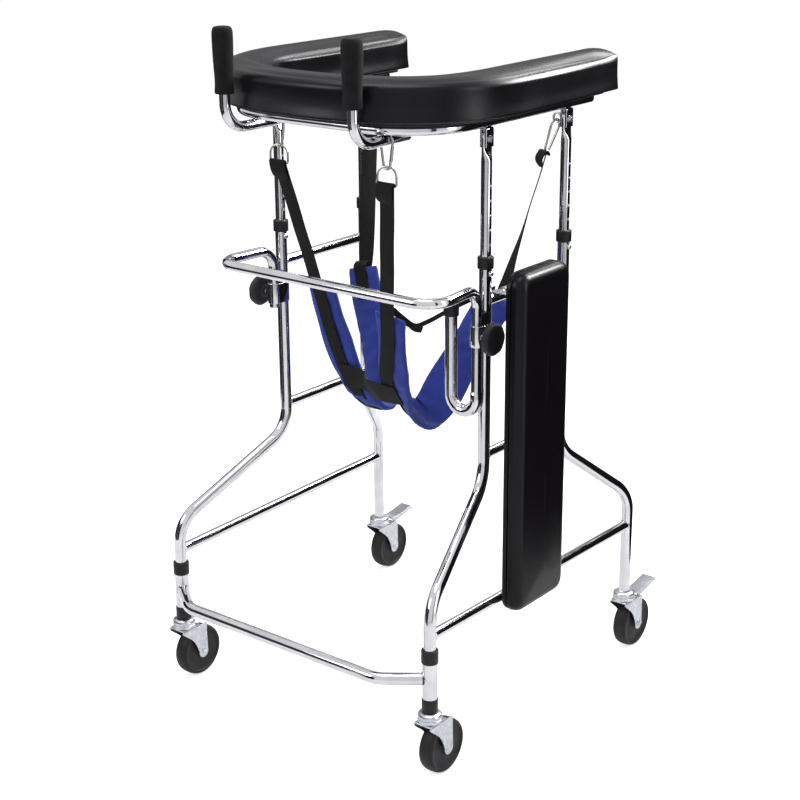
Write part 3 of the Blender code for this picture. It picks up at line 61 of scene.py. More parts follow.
# Legs, posts and rails; the holes lie whole pitches from the pin and are drilled between two depths
POST_X = 235.5
FRONT_POST_Y = -68.8
REAR_POST_Y = 176.8
FRONT_LEG = (298.5, -311)
REAR_LEG = (313.5, 311)
LEG_BEND = 70
FRONT_BENDS = (464, 328)
REAR_BENDS = (455, 338)
LEG_BOTTOM = 132.3
LEG_TOP = 877
RAIL_HEIGHTS = (800, 515)
LOW_RAIL_Z = 273
POST_BOTTOM = 676
POST_FLAT_START = 1044
POST_FLAT_FULL = 1066
POST_TOP = 1092.5
POST_TOP_ROUND = 6
PIN_Z = 849
HOLE_PITCH = 25.4
HOLE_RADIUS = 3.1
HOLE_STEPS = range(-3, 7)
HOLE_DEPTHS = (6, 14)
TONGUE_HALF = (3.5, 12.5)
POSTS = [(f"{end}_{side}", sign, y) for side, sign in SIDES.items()
         for end, y in (("front", FRONT_POST_Y), ("rear", REAR_POST_Y))]

# Low crossbar and its sleeves
CROSSBAR_Z = 192
CROSSBAR_REACH = 55
CROSSBAR_STRAIGHT = 225
CROSSBAR_BEND = 50
SLEEVE_BOTTOM = 156
SLEEVE_TOP = 223.5
SLEEVE_BORE = 12.2
SLEEVE_RADIUS = 13.3

# Arm frame, board and pad; a cushion is drawn smaller by its shrink, then swells above its pinned hem
ARM_TUBE_Z = 1110
ARM_FRONT = -237.5
ARM_REAR = 250
ARM_BEND = 125
BRACKET_WIDTH = 22
BRACKET_SLOT = 3.8
BRACKET_EAR = 3.0
BRACKET_DROP = 31.5
BOLT_Z = 1081.5
BOLT_RADIUS = 2.9
EYE_X = 215.8
EYE_RADIUS = 8
LINK_WIRE = 2.1
BOARD_BOTTOM = 1119.8
BOARD_THICKNESS = 6
BOARD_INSET = 18
PAD_BOTTOM = 1126.1
PAD_THICKNESS = 64
PAD_CROWN = 7
PAD_EDGE = 12
PAD_HEM = 1.5
PAD_FRONT = (298, 302)
PAD_INNER_FRONT = (192, 222)
PAD_REAR = 273
PAD_REAR_HALF = 284
PAD_CURVE_START = 45
PAD_CURVES = (0.87, 0.82)
PAD_END_ROUND = 4
PAD_END_TUCK = 4
PAD_SHRINK = 1.5
PAD_SWELL = 2.2
PINNED = 4

# Grips
GRIP_X = 140.4
GRIP_Y = -304
GRIP_TUBE_Z = 1090.5
GRIP_TUBE_REAR = -165
GRIP_BOTTOM = 1152
GRIP_LENGTH = 112
GRIP_BEND = 45
BLOCK_HALF = 11
BLOCK_LENGTH = 25
SCREW_Z = 1108

# Handrail with its stick holder and clamps
HANDRAIL_Y = -93.0
HANDRAIL_Z = 827
HANDRAIL_REACH = 139
HANDRAIL_FLARE = 15
HANDRAIL_LEFT_END = 715
HANDRAIL_BENDS = (35, 45, 45, 35)
HOLDER_X = 180.5
HOLDER_TOP = 785
HOLDER_SOCKET = 637
HOLDER_CORNER_Z = 600
HOLDER_BEND = 27.4
CLAMP_Z = 742
CLAMP_BAND = (38, 1.5)
KNOB_RADIUS = 29
KNOB_LOBES = 7
KNOB_DIP = 0.9
KNOB_FACE = (25.5, 18)

# Casters
WHEEL_RADIUS = 50
TRAIL = 33
FORK_TOP = 111.5
FORK_HALF = 18.5
FORK_SHEET = 2.5
HEAD_RADIUS = 21.5
PEDAL_PIVOT = (37, 105)
PEDAL_TIP = 101
PEDAL_SECTION = (28, 2.4)
CASTERS = [(f"{end}_{side}", sign * x, y) for end, (x, y) in (("front", FRONT_LEG), ("rear", REAR_LEG))
           for side, sign in SIDES.items()]

# Seat board
SEAT_BACK = 316.55
SEAT_BOARD = 9
SEAT_PAD = 26
SEAT_MIDDLE = (-47, 561)
SEAT_HALF = (78, 311)
SEAT_EDGE = 19
BOARD_CORNER = 30
PAD_CORNER = 26
SEAT_CROWN = (56, 4)
SEAT_SHRINK = 1.0
SEAT_SWELL = 1.4
OUTLINE_POINTS = 220
HOOK_YS = (FRONT_POST_Y + 30, FRONT_POST_Y + 65)
HOOK_SHEET = 2.5
HOOK_WIDTH = 18
HOOK_DROP = 38.5

# Sling
STRAP_WIDTH = 30
STRAP_THICKNESS = 2.2
SLING_WIDTH = 74
SLING_THICKNESS = 16
SLING = {"left": ((-122, -86, 770), (-113, -68, 695), (-95, -48, 610), (-72, -22, 548), (-66, 10, 530),
                  (-85, 42, 556), (-115, 62, 615), (-140, 73, 685), (-160, 80, 768)),
         "right": ((90, -150, 765), (74, -124, 697), (53, -92, 622), (44, -50, 567), (48.5, -18, 541),
                   (52, -2, 535), (55.5, 12, 541), (61, 30, 558), (77, 50, 603), (112, 66, 678), (155, 90, 762))}
SLING_TWIST = {"left": 0, "right": 48}
SLING_BEND = 0.48
STITCH_PITCH = 4.2
SEAM_INSET = 6
STRAP_SLIDE = {"left": 0, "right": 11}
SLING_CREASES = {"left": ((0.42, 0.9, 4.5), (0.52, -0.5, 4.0), (0.16, 0.5, -2.2), (0.72, -0.7, 3.0)),
                 "right": ((0.47, 1.1, 6.0), (0.40, 0.6, -3.0), (0.60, -0.9, 4.0), (0.76, 0.9, 4.5),
                           (0.15, -0.5, 2.5))}
CROSS_BAND_Z = 600
CROSS_BAND_PAST = 41
FRONT_LINK_Y = {"left": -172, "right": -218.5}
FRONT_LINK_LOW = 1042
EDGE_ON = {"left": 51.5, "right": 60.0}
REAR_LINK_TOP = (EYE_X, REAR_POST_Y, 1078.2)
REAR_LINK_LOW = (204, 161, 1022)
RING_HALF = 16.8
RING_EDGE = 12.5
RING_LOW = 28.5
RING_WIRE = 1.8

# Studio, in metres and degrees
FLOOR_GLOW = 0.64
FLOOR_MIRRORED = 0.22
AMBIENT = 0.42
DARK_CARDS = ((-46, 1.7, 0.80, 0, 0.95, 0.01), (-76, 1.7, 0.95, 0, 0.95, 0.05), (-138, 1.5, 0.50, 0, 1.3, 0.02),
              (-108, 1.9, 1.20, 0, 0.9, 0.02), (-158, 2.2, 1.40, 0, 0.8, 0.02), (104, 0.85, 1.50, 0, 1.3, 0.01),
              (110, 1.6, 1.70, 0, 2.4, 0.02), (28, 2.2, 0.30, 0, 2.4, 0.05), (180, 2.4, 3.60, 1.25, 2.12, 0.26))
SOFTBOXES = (("back_light", (0.6, 2.3, 3.0), (0, 0, 1.0), (2.4, 0.7), 62),
             ("top_light", (-0.2, -0.4, 3.4), (0, 0, 0.6), (2.0, 1.4), 40),
             ("key_light", (-1.6, -3.2, 2.4), (0, 0, 0.7), (1.4, 1.8), 46),
             ("side_strip", (3.0, 0.2, 1.5), (0, 0, 0.7), (0.6, 2.4), 22),
             ("edge_light", (1.2, 2.7, 2.9), (0.2, 0, 1.0), (2.4, 0.38), 115),
             ("seat_light", (0.80, 0.98, 1.64), (0.33, -0.05, 0.87), (0.60, 0.42), 36))
CAMERA_PLACE = (1.8545, -2.3621, 1.5838)
CAMERA_YAW = 38.25
CAMERA_DIP = 18.98
CAMERA_ROLL = -0.39
CAMERA_LENS = 75.7

MIDDLE = np.mean([np.mean([tuple(corner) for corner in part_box(f"caster_head_{name}")], axis=0)
                  for name, _, _ in CASTERS], axis=0) * (1, 1, 0)


def unit(vectors):
    """Vectors divided by their lengths."""
    return vectors / np.linalg.norm(vectors, axis=-1, keepdims=True)


def signed_power(values, power):
    """The sign of each value times its size raised to a power."""
    return np.sign(values) * np.abs(values) ** power


def arc(radius, start, end, count, centre=(0, 0)):
    """Arc points: centre plus radius times cosine and sine, at even steps between two angles in degrees."""
    angle = np.radians(np.linspace(start, end, count))
    return np.array(centre) + radius * np.stack([np.cos(angle), np.sin(angle)], -1)


def circle(radius, count, centre=(0, 0)):
    """A whole turn of arc points."""
    return arc(radius, 0, 360, count + 1, centre)[:-1]


def rectangle(left, right, low, high):
    """The four corners of a rectangle."""
    return [(left, low), (right, low), (right, high), (left, high)]


def placed(outline, axis, depth):
    """Plane points with their third coordinate put in at an axis."""
    return np.insert(np.array(outline, float), axis, depth, axis=1)


def travelled(path):
    """Distance along a path at each point."""
    return np.concatenate([[0], np.cumsum(np.linalg.norm(np.diff(path, axis=0), axis=1))])


def sampled(marks, distance, values):
    """Values at marks along a path, read between its points."""
    return np.stack([np.interp(marks, distance, column) for column in values.T], -1)


def bent_path(corners, radii, steps=12):
    """Straight runs joined by arcs: an arc's points are its centre plus a turn from start to end."""
    corners = np.array(corners, float)
    points = [corners[:1]]
    for before, corner, after, radius in zip(corners, corners[1:], corners[2:], radii):
        back = unit(before - corner)
        ahead = unit(after - corner)
        half = math.acos(float(np.clip(back @ ahead, -1, 1))) / 2
        centre = corner + unit(back + ahead) * radius / math.sin(half)
        start = corner + back * radius / math.tan(half) - centre
        end = corner + ahead * radius / math.tan(half) - centre
        turn = math.pi - 2 * half
        angle = np.linspace(0, 1, steps + 1)[:, None] * turn
        points.append(centre + (np.sin(turn - angle) * start + np.sin(angle) * end) / math.sin(turn))
    return np.concatenate(points + [corners[-1:]])


def softened(profile, radius, steps=4):
    """A profile whose inner corners are arcs of one radius."""
    return bent_path(profile, [radius] * (len(profile) - 2), steps)


def smooth_path(points, steps):
    """Catmull-Rom curve: each span blends its two ends and their neighbours with cubic weights."""
    points = np.array(points, float)
    padded = np.concatenate([2 * points[:1] - points[1:2], points, 2 * points[-1:] - points[-2:-1]])
    before, start, end, after = (padded[k:len(padded) - 3 + k, None] for k in range(4))
    t = np.linspace(0, 1, steps, endpoint=False)[None, :, None]
    curve = 0.5 * (2 * start + (end - before) * t + (2 * before - 5 * start + 4 * end - after) * t ** 2
                   + (3 * start - before - 3 * end + after) * t ** 3)
    return np.concatenate([curve.reshape(-1, points.shape[1]), points[-1:]])


def path_directions(path, closed=False):
    """Unit direction of travel at each point, from the neighbours on both sides."""
    if closed:
        return unit(np.roll(path, -1, axis=0) - np.roll(path, 1, axis=0))
    steps = unit(np.diff(path, axis=0))
    return unit(np.concatenate([steps[:1], steps[:-1] + steps[1:], steps[-1:]]))


def carried(path, section, side, closed=False):
    """A section carried along a path: point = path + side times u + across times v.

    The side direction goes on from point to point and is kept square to the travel.
    """
    path = np.array(path, float)
    along = path_directions(path, closed)
    sides = np.empty_like(path)
    current = np.array(side, float)
    for index, direction in enumerate(along):
        current = unit(current - direction * (current @ direction))
        sides[index] = current
    section = np.broadcast_to(section, (len(path),) + np.shape(section)[-2:])
    return path[:, None] + sides[:, None] * section[..., :1] + np.cross(along, sides)[:, None] * section[..., 1:]


def shell(points, wrap_rows=False, weave=None):
    """A closed skin from a grid of points: four-sided faces between rows, flat caps on open ends."""
    rows, columns = points.shape[:2]
    r, c = np.meshgrid(np.arange(rows if wrap_rows else rows - 1), np.arange(columns), indexing="ij")
    r_next, c_next = (r + 1) % rows, (c + 1) % columns
    quads = np.stack([r * columns + c, r * columns + c_next,
                      r_next * columns + c_next, r_next * columns + c], -1).reshape(-1, 4)
    faces = quads.tolist()
    if not wrap_rows:
        faces += [list(range(columns))[::-1], list(range((rows - 1) * columns, rows * columns))]
    points = points.reshape(-1, 3)
    a, b, c, d = (points[quads] - points.mean(axis=0)).swapaxes(0, 1)
    volume = (a * (np.cross(b, c) + np.cross(c, d))).sum()
    return points, [face[::-1] for face in faces] if volume < 0 else faces, weave


def round_section(radius, sides):
    """Circle points; an array of radii gives one circle each."""
    return np.asarray(radius, float)[..., None, None] * circle(1, sides)


def flat_section(width, thickness, rounding=0.3, sides=6):
    """A flat bar's section: a rectangle whose corners are arcs of the given share of the thickness."""
    radius = thickness * rounding
    quarter = arc(radius, 0, 90, sides, (width / 2 - radius, thickness / 2 - radius))
    return np.concatenate([quarter, quarter[::-1] * (-1, 1), -quarter, quarter[::-1] * (1, -1)])


def sweep(path, section, side, closed=False):
    """The skin of a section carried along a path."""
    return shell(carried(path, section, side, closed), wrap_rows=closed)


def bar(path, radius, side=(0, 0, 1), sides=28, closed=False):
    """A round bar along a path."""
    return sweep(path, round_section(radius, sides), side, closed)


def pipe(path, radius, side=(0, 0, 1), sides=32):
    """An open tube: the outer circle goes along the path and the bore's circle comes back."""
    outer, bore = (carried(path, round_section(np.asarray(radius) - wall, sides), side) for wall in (0, TUBE_WALL))
    return shell(np.concatenate([outer, bore[::-1]]), wrap_rows=True)


def turned(profile, centre, axis=(0, 0, 1), sides=48, closed=False):
    """A profile of (radius, height) turned about an axis: point = centre + axis times height + circle."""
    profile = np.array(profile, float)
    axis = unit(np.array(axis, float))
    side = unit(np.cross(axis, (0, 1, 0) if abs(axis[1]) < 0.9 else (1, 0, 0)))
    ring = circle(1, sides) @ [side, np.cross(axis, side)]
    points = np.array(centre) + profile[:, 1, None, None] * axis + profile[:, 0, None, None] * ring
    return shell(points, wrap_rows=closed)


def slab(outline, axis, start, end):
    """A flat outline pushed along an axis; its points give the other two coordinates in order."""
    return shell(np.stack([placed(outline, axis, depth) for depth in (start, end)]))


def link_object(name, data):
    """A new object in the scene."""
    made = bpy.data.objects.new(name, data)
    bpy.context.scene.collection.objects.link(made)
    return made


def new_object(name, skins):
    """One mesh object in metres from skins of points, faces and the lay of their threads."""
    starts = np.cumsum([0] + [len(points) for points, _, _ in skins]).tolist()
    faces = [[corner + start for corner in face] for (_, part, _), start in zip(skins, starts) for face in part]
    mesh = bpy.data.meshes.new(name)
    mesh.from_pydata((np.concatenate([points for points, _, _ in skins]) * MM + MIDDLE).tolist(), [], faces)
    if skins[0][2] is not None:
        lay = mesh.attributes.new("weave", "FLOAT_VECTOR", "POINT")
        weaves = np.concatenate([weave for _, _, weave in skins]) * MM
        lay.data.foreach_set("vector", weaves.astype(np.float32).ravel())
    return link_object(name, mesh)


def make_piece(name, skins, finish, body, replaced=None, bevel=0.0, crease=38):
    """A piece from skins, with its finish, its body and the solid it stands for."""
    piece = new_object(name, skins)
    piece.data.shade_smooth()
    piece.data.materials.append(finish)
    if bevel:
        rounding = piece.modifiers.new("rounding", "BEVEL")
        rounding.width = bevel * MM
        rounding.segments = 2
        rounding.limit_method = "ANGLE"
        rounding.angle_limit = math.radians(40)
        rounding.harden_normals = True
    else:
        piece.data.set_sharp_from_angle(angle=math.radians(crease))
    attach(piece, body)
    if replaced:
        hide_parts(replaced)
    return piece


def linear(hex_colour):
    """An sRGB hex colour as linear red, green, blue and full alpha."""
    parts = [int(hex_colour[k:k + 2], 16) / 255 for k in (1, 3, 5)]
    return [part / 12.92 if part <= 0.04045 else ((part + 0.055) / 1.055) ** 2.4 for part in parts] + [1.0]


def add_node(tree, kind, inputs=None, **settings):
    """Adds a node with its settings, and gives its inputs values or links."""
    made = tree.nodes.new("ShaderNode" + kind)
    for key, value in settings.items():
        setattr(made, key, value)
    for socket, value in (inputs or {}).items():
        if isinstance(value, bpy.types.NodeSocket):
            tree.links.new(value, made.inputs[socket])
        else:
            made.inputs[socket].default_value = value
    return made


def new_material(name, **constants):
    """A material with constants on its Principled sockets; returns it, its tree and its shader."""
    made = bpy.data.materials.new(name)
    made.use_nodes = True
    shader = made.node_tree.nodes["Principled BSDF"]
    for socket, value in constants.items():
        shader.inputs[socket.replace("_", " ")].default_value = value
    return made, made.node_tree, shader


def new_finish(name, first, second, scale, detail, rough, heights, **constants):
    """A material of two colours mixed by a noise with the given number of features a metre.

    heights(tree, place, noise) gives each bump's pattern, depth in metres and strength, one over the
    other. The roughness goes from low to high with the noise's middle band, or else with the band of
    the first bump's pattern that stands after them.
    """
    made, tree, shader = new_material(name, **constants)
    place = add_node(tree, "TexCoord").outputs["Object"]
    mottle = add_node(tree, "TexNoise", {"Vector": place, "Scale": scale, "Detail": detail}).outputs["Fac"]
    bumps = heights(tree, place, mottle)
    band = (mottle, 0.35, 0.65)
    source = (bumps[0][0], *rough[2:]) if rough[2:] else band
    share, dull = (add_node(tree, "MapRange", {"Value": value, "From Min": start, "From Max": end,
                                               "To Min": low, "To Max": high}).outputs["Result"]
                   for (value, start, end), (low, high) in ((band, (0.0, 1.0)), (source, rough[:2])))
    mix = add_node(tree, "Mix", {"Factor": share, 6: linear(first), 7: linear(second)}, data_type="RGBA")
    tree.links.new(mix.outputs[2], shader.inputs["Base Color"])
    tree.links.new(dull, shader.inputs["Roughness"])
    normal = {}
    for height, depth, strength in bumps:
        bump = add_node(tree, "Bump", {"Height": height, "Distance": depth, "Strength": strength, **normal})
        normal = {"Normal": bump.outputs["Normal"]}
    for top in normal.values():
        tree.links.new(top, shader.inputs["Normal"])
    return made


def drawing_waves(tree, place, _):
    """Faint waves left by drawing the tube, twelve times as long as they are wide."""
    along = add_node(tree, "Mapping", {"Vector": place, "Scale": (260, 260, 22)}).outputs["Vector"]
    waves = add_node(tree, "TexNoise", {"Vector": along, "Scale": 1.0, "Detail": 2})
    return [(waves.outputs["Fac"], 0.00004, 0.25)]


def fine_grain(scale, depth, strength):
    """Heights of one fine noise."""
    return lambda tree, place, _: [(add_node(tree, "TexNoise", {"Vector": place, "Scale": scale, "Detail": 2})
                                    .outputs["Fac"], depth, strength)]


def leather_grain(tree, place, waves):
    """Creases between leather cells of about 1.4 mm mixed with pores, over the slow waves of the foam."""
    cells = add_node(tree, "TexVoronoi", {"Vector": place, "Scale": 700.0}, feature="DISTANCE_TO_EDGE")
    creases = add_node(tree, "MapRange", {"Value": cells.outputs["Distance"], "From Min": 0.0, "From Max": 0.12})
    pores = add_node(tree, "TexNoise", {"Vector": place, "Scale": 1500, "Detail": 2})
    height = add_node(tree, "Mix", {"Factor": 0.25, 2: creases.outputs["Result"], 3: pores.outputs["Fac"]},
                      data_type="FLOAT")
    return [(height.outputs[0], 0.00010, 0.22), (waves, 0.0004, 0.15)]


def open_pores(tree, place, _):
    """Open pores of about 0.8 mm."""
    pores = add_node(tree, "TexVoronoi", {"Vector": place, "Scale": 1200})
    return [(pores.outputs["Distance"], 0.0004, 0.5)]


def threads(tree, scale, distortion, axes):
    """Waves of threads along a piece's own lay, one pattern for each axis."""
    lay = add_node(tree, "Attribute", attribute_name="weave").outputs["Vector"]
    return [add_node(tree, "TexWave", {"Vector": lay, "Scale": scale, "Distortion": distortion, "Detail": 1.0},
                     wave_type="BANDS", bands_direction=axis).outputs["Fac"] for axis in axes]


def plain_weave(tree, place, _):
    """The product of two sets of threads of 1.6 mm, over the slow unevenness of the wadding."""
    cloth = add_node(tree, "Math", dict(enumerate(threads(tree, 310, 0.4, "XY"))), operation="MULTIPLY")
    puckers = add_node(tree, "TexNoise", {"Vector": place, "Scale": 55, "Detail": 2})
    return [(cloth.outputs[0], 0.0003, 0.45), (puckers.outputs["Fac"], 0.0016, 0.45)]


def moulded(name, first, second, shine, grain=0.35):
    """Moulded black plastic: a fine spark-eroded grain, slightly duller where hands rub it."""
    return new_finish(name, first, second, 45, 3, (shine, shine + 0.12), fine_grain(2600, 0.00012, grain),
                      Specular_IOR_Level=0.30)


# Bright chrome over drawn steel tube: a mirror with faint drawing waves and finger smudges
CHROME = new_finish("chromed_tube", "#d8d8dc", "#cbcbd0", 28, 4, (0.035, 0.10), drawing_waves, Metallic=1.0)
# Zinc-plated pressed steel: pale grey with a soft crystal mottling and press marks; the bolts are brighter
ZINC, BOLT_STEEL = (new_finish(*look, 150, 3, (0.26, 0.34), fine_grain(320, 0.00003, 0.15), Metallic=1.0)
                    for look in (("zinc_plated_steel", "#cdcfd5", "#b6b9c1"),
                                 ("bright_bolt_steel", "#d8d9dc", "#b4b6ba")))
# Nickel-plated round wire of links and rings: bright, slightly warm, fine draw marks
NICKEL = new_finish("nickel_wire", "#bdbcb8", "#9c9b97", 900, 2, (0.12, 0.22),
                    lambda tree, place, marks: [(marks, 0.00005, 0.3)], Metallic=1.0)
# Black vinyl-coated fabric: leather grain, soft gloss, slow foam waves
ARM_VINYL = new_finish("arm_pad_vinyl", "#111015", "#15141a", 14, 2, (0.25, 0.28), leather_grain,
                       Specular_IOR_Level=0.17)
# The seat's vinyl is the arm pad's vinyl drawn darker: painted shade of the seat's face and board.
SHADED_SEAT_VINYL = new_finish("seat_pad_vinyl", "#0f0c11", "#0c0a0e", 14, 2, (0.23, 0.26), leather_grain,
                        Specular_IOR_Level=0.17)
# Black foam rubber of the hand grips: matt, with open pores
FOAM = new_finish("foam_rubber", "#1e1e20", "#161618", 60, 3, (0.80, 0.95, 0.1, 0.6), open_pores,
                  Specular_IOR_Level=0.15)
NYLON = moulded("black_nylon", "#141417", "#0e0e11", 0.38)
KNOB_PLASTIC = moulded("knob_plastic", "#2a2a2d", "#222225", 0.50, 0.5)
WHEEL_PLASTIC = moulded("wheel_polypropylene", "#1b1b1f", "#141417", 0.46, 0.5)
BOARD_PAINT = moulded("black_board_laminate", "#17171a", "#101013", 0.40)
# Royal blue polyester cloth over the thigh pads: plain weave, drawn coarser so that it shows
BLUE_CLOTH = new_finish("woven_polyester", "#263589", "#2d3f98", 22, 4, (0.62, 0.78), plain_weave,
                        Sheen_Weight=0.12, Sheen_Roughness=0.45, Specular_IOR_Level=0.25)
# Black polyester webbing: ribs across the strap every 2 mm, woven edges, a dull sheen
WEBBING = new_finish("ribbed_webbing", "#111113", "#19191c", 500, 2, (0.68, 0.85, 0.2, 0.8),
                     lambda tree, *_: [(threads(tree, 160, 0.8, "Y")[0], 0.0004, 0.5)], Specular_IOR_Level=0.18)
# Black polyester thread of the seams: a little brighter than the cloth round it
THREAD = new_finish("sewing_thread", "#26262c", "#101014", 2400, 1, (0.45, 0.6), lambda *_: [],
                    Specular_IOR_Level=0.25)


def leg_path(sign, leg, post_y, bends):
    """Centre line of a leg: down from its top, out along the slope, down to the caster."""
    corners = [(POST_X, post_y, LEG_TOP), (POST_X, post_y, bends[0]), (*leg, bends[1]), (*leg, LEG_BOTTOM)]
    return bent_path(np.array(corners) * (sign, 1, 1), [LEG_BEND] * 2, 16)


def weld_bead(root, direction, upright_radius, rail_radius):
    """A bead along the saddle where a rail meets an upright: reach = root of upright² less offset²."""
    direction = unit(np.array(direction, float))
    offset, rise = circle(rail_radius, 40).T[..., None]
    reach = np.sqrt(upright_radius ** 2 - offset ** 2)
    ring = np.array(root) + direction * reach + unit(np.cross((0, 0, 1), direction)) * offset + rise * (0, 0, 1)
    return bar(ring, WELD_BEAD, side=direction, sides=8, closed=True)


def make_side_frames():
    """Each side: two bent legs, three rails between them and a weld bead at each rail end."""
    for name, sign in SIDES.items():
        skins = [pipe(leg_path(sign, *leg), FRAME_RADIUS, (1, 0, 0), 36)
                 for leg in ((FRONT_LEG, FRONT_POST_Y, FRONT_BENDS), (REAR_LEG, REAR_POST_Y, REAR_BENDS))]
        ends = [((POST_X, FRONT_POST_Y, z), (POST_X, REAR_POST_Y, z)) for z in RAIL_HEIGHTS]
        ends.append(((*FRONT_LEG, LOW_RAIL_Z), (*REAR_LEG, LOW_RAIL_Z)))
        for front, rear in np.array(ends) * (sign, 1, 1):
            along = unit(rear - front)
            inset = along * FRAME_RADIUS * 0.6
            skins += [bar([front + inset, rear - inset], SMALL_RADIUS, sides=32),
                      weld_bead(front, along, FRAME_RADIUS, SMALL_RADIUS),
                      weld_bead(rear, -along, FRAME_RADIUS, SMALL_RADIUS)]
        make_piece(f"frame_tubes_{name}", skins, CHROME, "frame", f"side_frame_{name}")


def make_crossbar():
    """The low bar, bent back at its ends, with its two sleeves on the front legs."""
    leg_x, leg_y = FRONT_LEG
    bar_y = leg_y - CROSSBAR_REACH
    path = bent_path([(-leg_x, leg_y, CROSSBAR_Z), (-CROSSBAR_STRAIGHT, bar_y, CROSSBAR_Z),
                      (CROSSBAR_STRAIGHT, bar_y, CROSSBAR_Z), (leg_x, leg_y, CROSSBAR_Z)], [CROSSBAR_BEND] * 2, 14)
    path[[0, -1]] += unit(path[[1, -2]] - path[[0, -1]]) * SLEEVE_RADIUS * 0.93
    skins = [bar(path, FRAME_RADIUS, sides=36)]
    rim = SLEEVE_RADIUS - 0.3
    profile = [(SLEEVE_BORE, SLEEVE_BOTTOM), (rim, SLEEVE_BOTTOM), (SLEEVE_RADIUS, SLEEVE_BOTTOM + 0.3),
               (SLEEVE_RADIUS, SLEEVE_TOP - 0.3), (rim, SLEEVE_TOP), (SLEEVE_BORE, SLEEVE_TOP)]
    for sign in SIDES.values():
        skins.append(turned(profile, (sign * leg_x, leg_y, 0), closed=True))
        direction = (-sign * (leg_x - CROSSBAR_STRAIGHT), -CROSSBAR_REACH, 0)
        skins.append(weld_bead((sign * leg_x, leg_y, CROSSBAR_Z), direction, SLEEVE_RADIUS, FRAME_RADIUS))
    make_piece("crossbar_with_sleeves", skins, CHROME, "frame", "front_crossbar")


def make_sleeve_rings():
    """Black bushes below and rings above the sleeves, with softened rims."""
    bore = FRAME_RADIUS + GAP
    rings = (softened(rectangle(bore, 14.3, 130, SLEEVE_BOTTOM), 1.2),
             rectangle(bore, SLEEVE_BORE, SLEEVE_BOTTOM, SLEEVE_TOP),
             softened(rectangle(bore, 15, SLEEVE_TOP, SLEEVE_TOP + 25), 1.4))
    for name, sign in SIDES.items():
        skins = [turned(ring, (sign * FRONT_LEG[0], FRONT_LEG[1], 0), closed=True) for ring in rings]
        make_piece(f"sleeve_rings_{name}", skins, NYLON, "frame", f"sleeve_bush_{name}")


def make_posts():
    """Upper posts: round, then pressed to a flat tongue; the row of holes is cut through one wall."""
    cosine, sine = circle(1, 36).T
    shoulder = POST_TOP - POST_TOP_ROUND
    heights = np.concatenate([[POST_BOTTOM, 700], np.linspace(POST_FLAT_START, POST_FLAT_FULL, 10),
                              [shoulder], shoulder + POST_TOP_ROUND * np.sin(np.linspace(0.3, 1.5, 5))])
    press = np.clip((heights - POST_FLAT_START) / (POST_FLAT_FULL - POST_FLAT_START), 0, 1)
    press = press ** 2 * (3 - 2 * press)
    top_round = np.sqrt(np.clip(1 - (np.clip(heights - shoulder, 0, None) / 6.2) ** 2, 0.02, 1))
    half_x = SMALL_RADIUS + (TONGUE_HALF[0] - SMALL_RADIUS) * press
    half_y = (SMALL_RADIUS + (TONGUE_HALF[1] - SMALL_RADIUS) * press) * (0.55 + 0.45 * top_round)
    power = 1 - 0.55 * press[:, None]
    x = half_x[:, None] * signed_power(cosine, power)
    y = half_y[:, None] * signed_power(sine, np.clip(power + 0.25, None, 1))
    collar = softened([(FRAME_RADIUS + GAP, 857.8), (14.2, 857.8), (14.2, 878.8),
                       (SMALL_RADIUS + GAP, 878.8), (SMALL_RADIUS + GAP, 876)], 1.1)
    head = softened([(2.2, 9.8), (2.6, 11.1), (5.0, 11.3), (4.8, 14.0), (3.0, 15.0), (0.6, 15.2)], 0.6)
    drill = [(HOLE_RADIUS, depth) for depth in HOLE_DEPTHS]
    for name, sign, post_y in POSTS:
        post_x = sign * POST_X
        points = np.stack([x + post_x, y + post_y, np.broadcast_to(heights[:, None], x.shape)], -1)
        post = make_piece(f"post_{name}", [shell(points)], CHROME, "top", f"upper_post_{name}")
        cut_holes(post, [turned(drill, (post_x, post_y, PIN_Z + step * HOLE_PITCH), (1, 0, 0), 20)
                         for step in HOLE_STEPS])
        make_piece(f"collar_{name}", [turned(collar, (post_x, post_y, 0), closed=True)], NYLON, "frame",
                   f"post_collar_{name}")
        make_piece(f"pin_head_{name}", [turned(head, (post_x, post_y, PIN_Z), (1, 0, 0), 24)], BOLT_STEEL,
                   f"pin_{name}", f"height_pin_{name}")


def cut_holes(piece, drills):
    """Cuts closed drill skins out of a piece, and keeps the finish."""
    drill = new_object("drills", drills)
    cut = piece.modifiers.new("holes", "BOOLEAN")
    cut.operation = "DIFFERENCE"
    cut.solver = "EXACT"
    cut.object = drill
    bpy.context.view_layer.update()
    piece.data = bpy.data.meshes.new_from_object(piece.evaluated_get(bpy.context.evaluated_depsgraph_get()))
    piece.modifiers.remove(cut)
    piece.data.shade_smooth()
    piece.data.set_sharp_from_angle(angle=math.radians(38))
    bpy.data.objects.remove(drill)


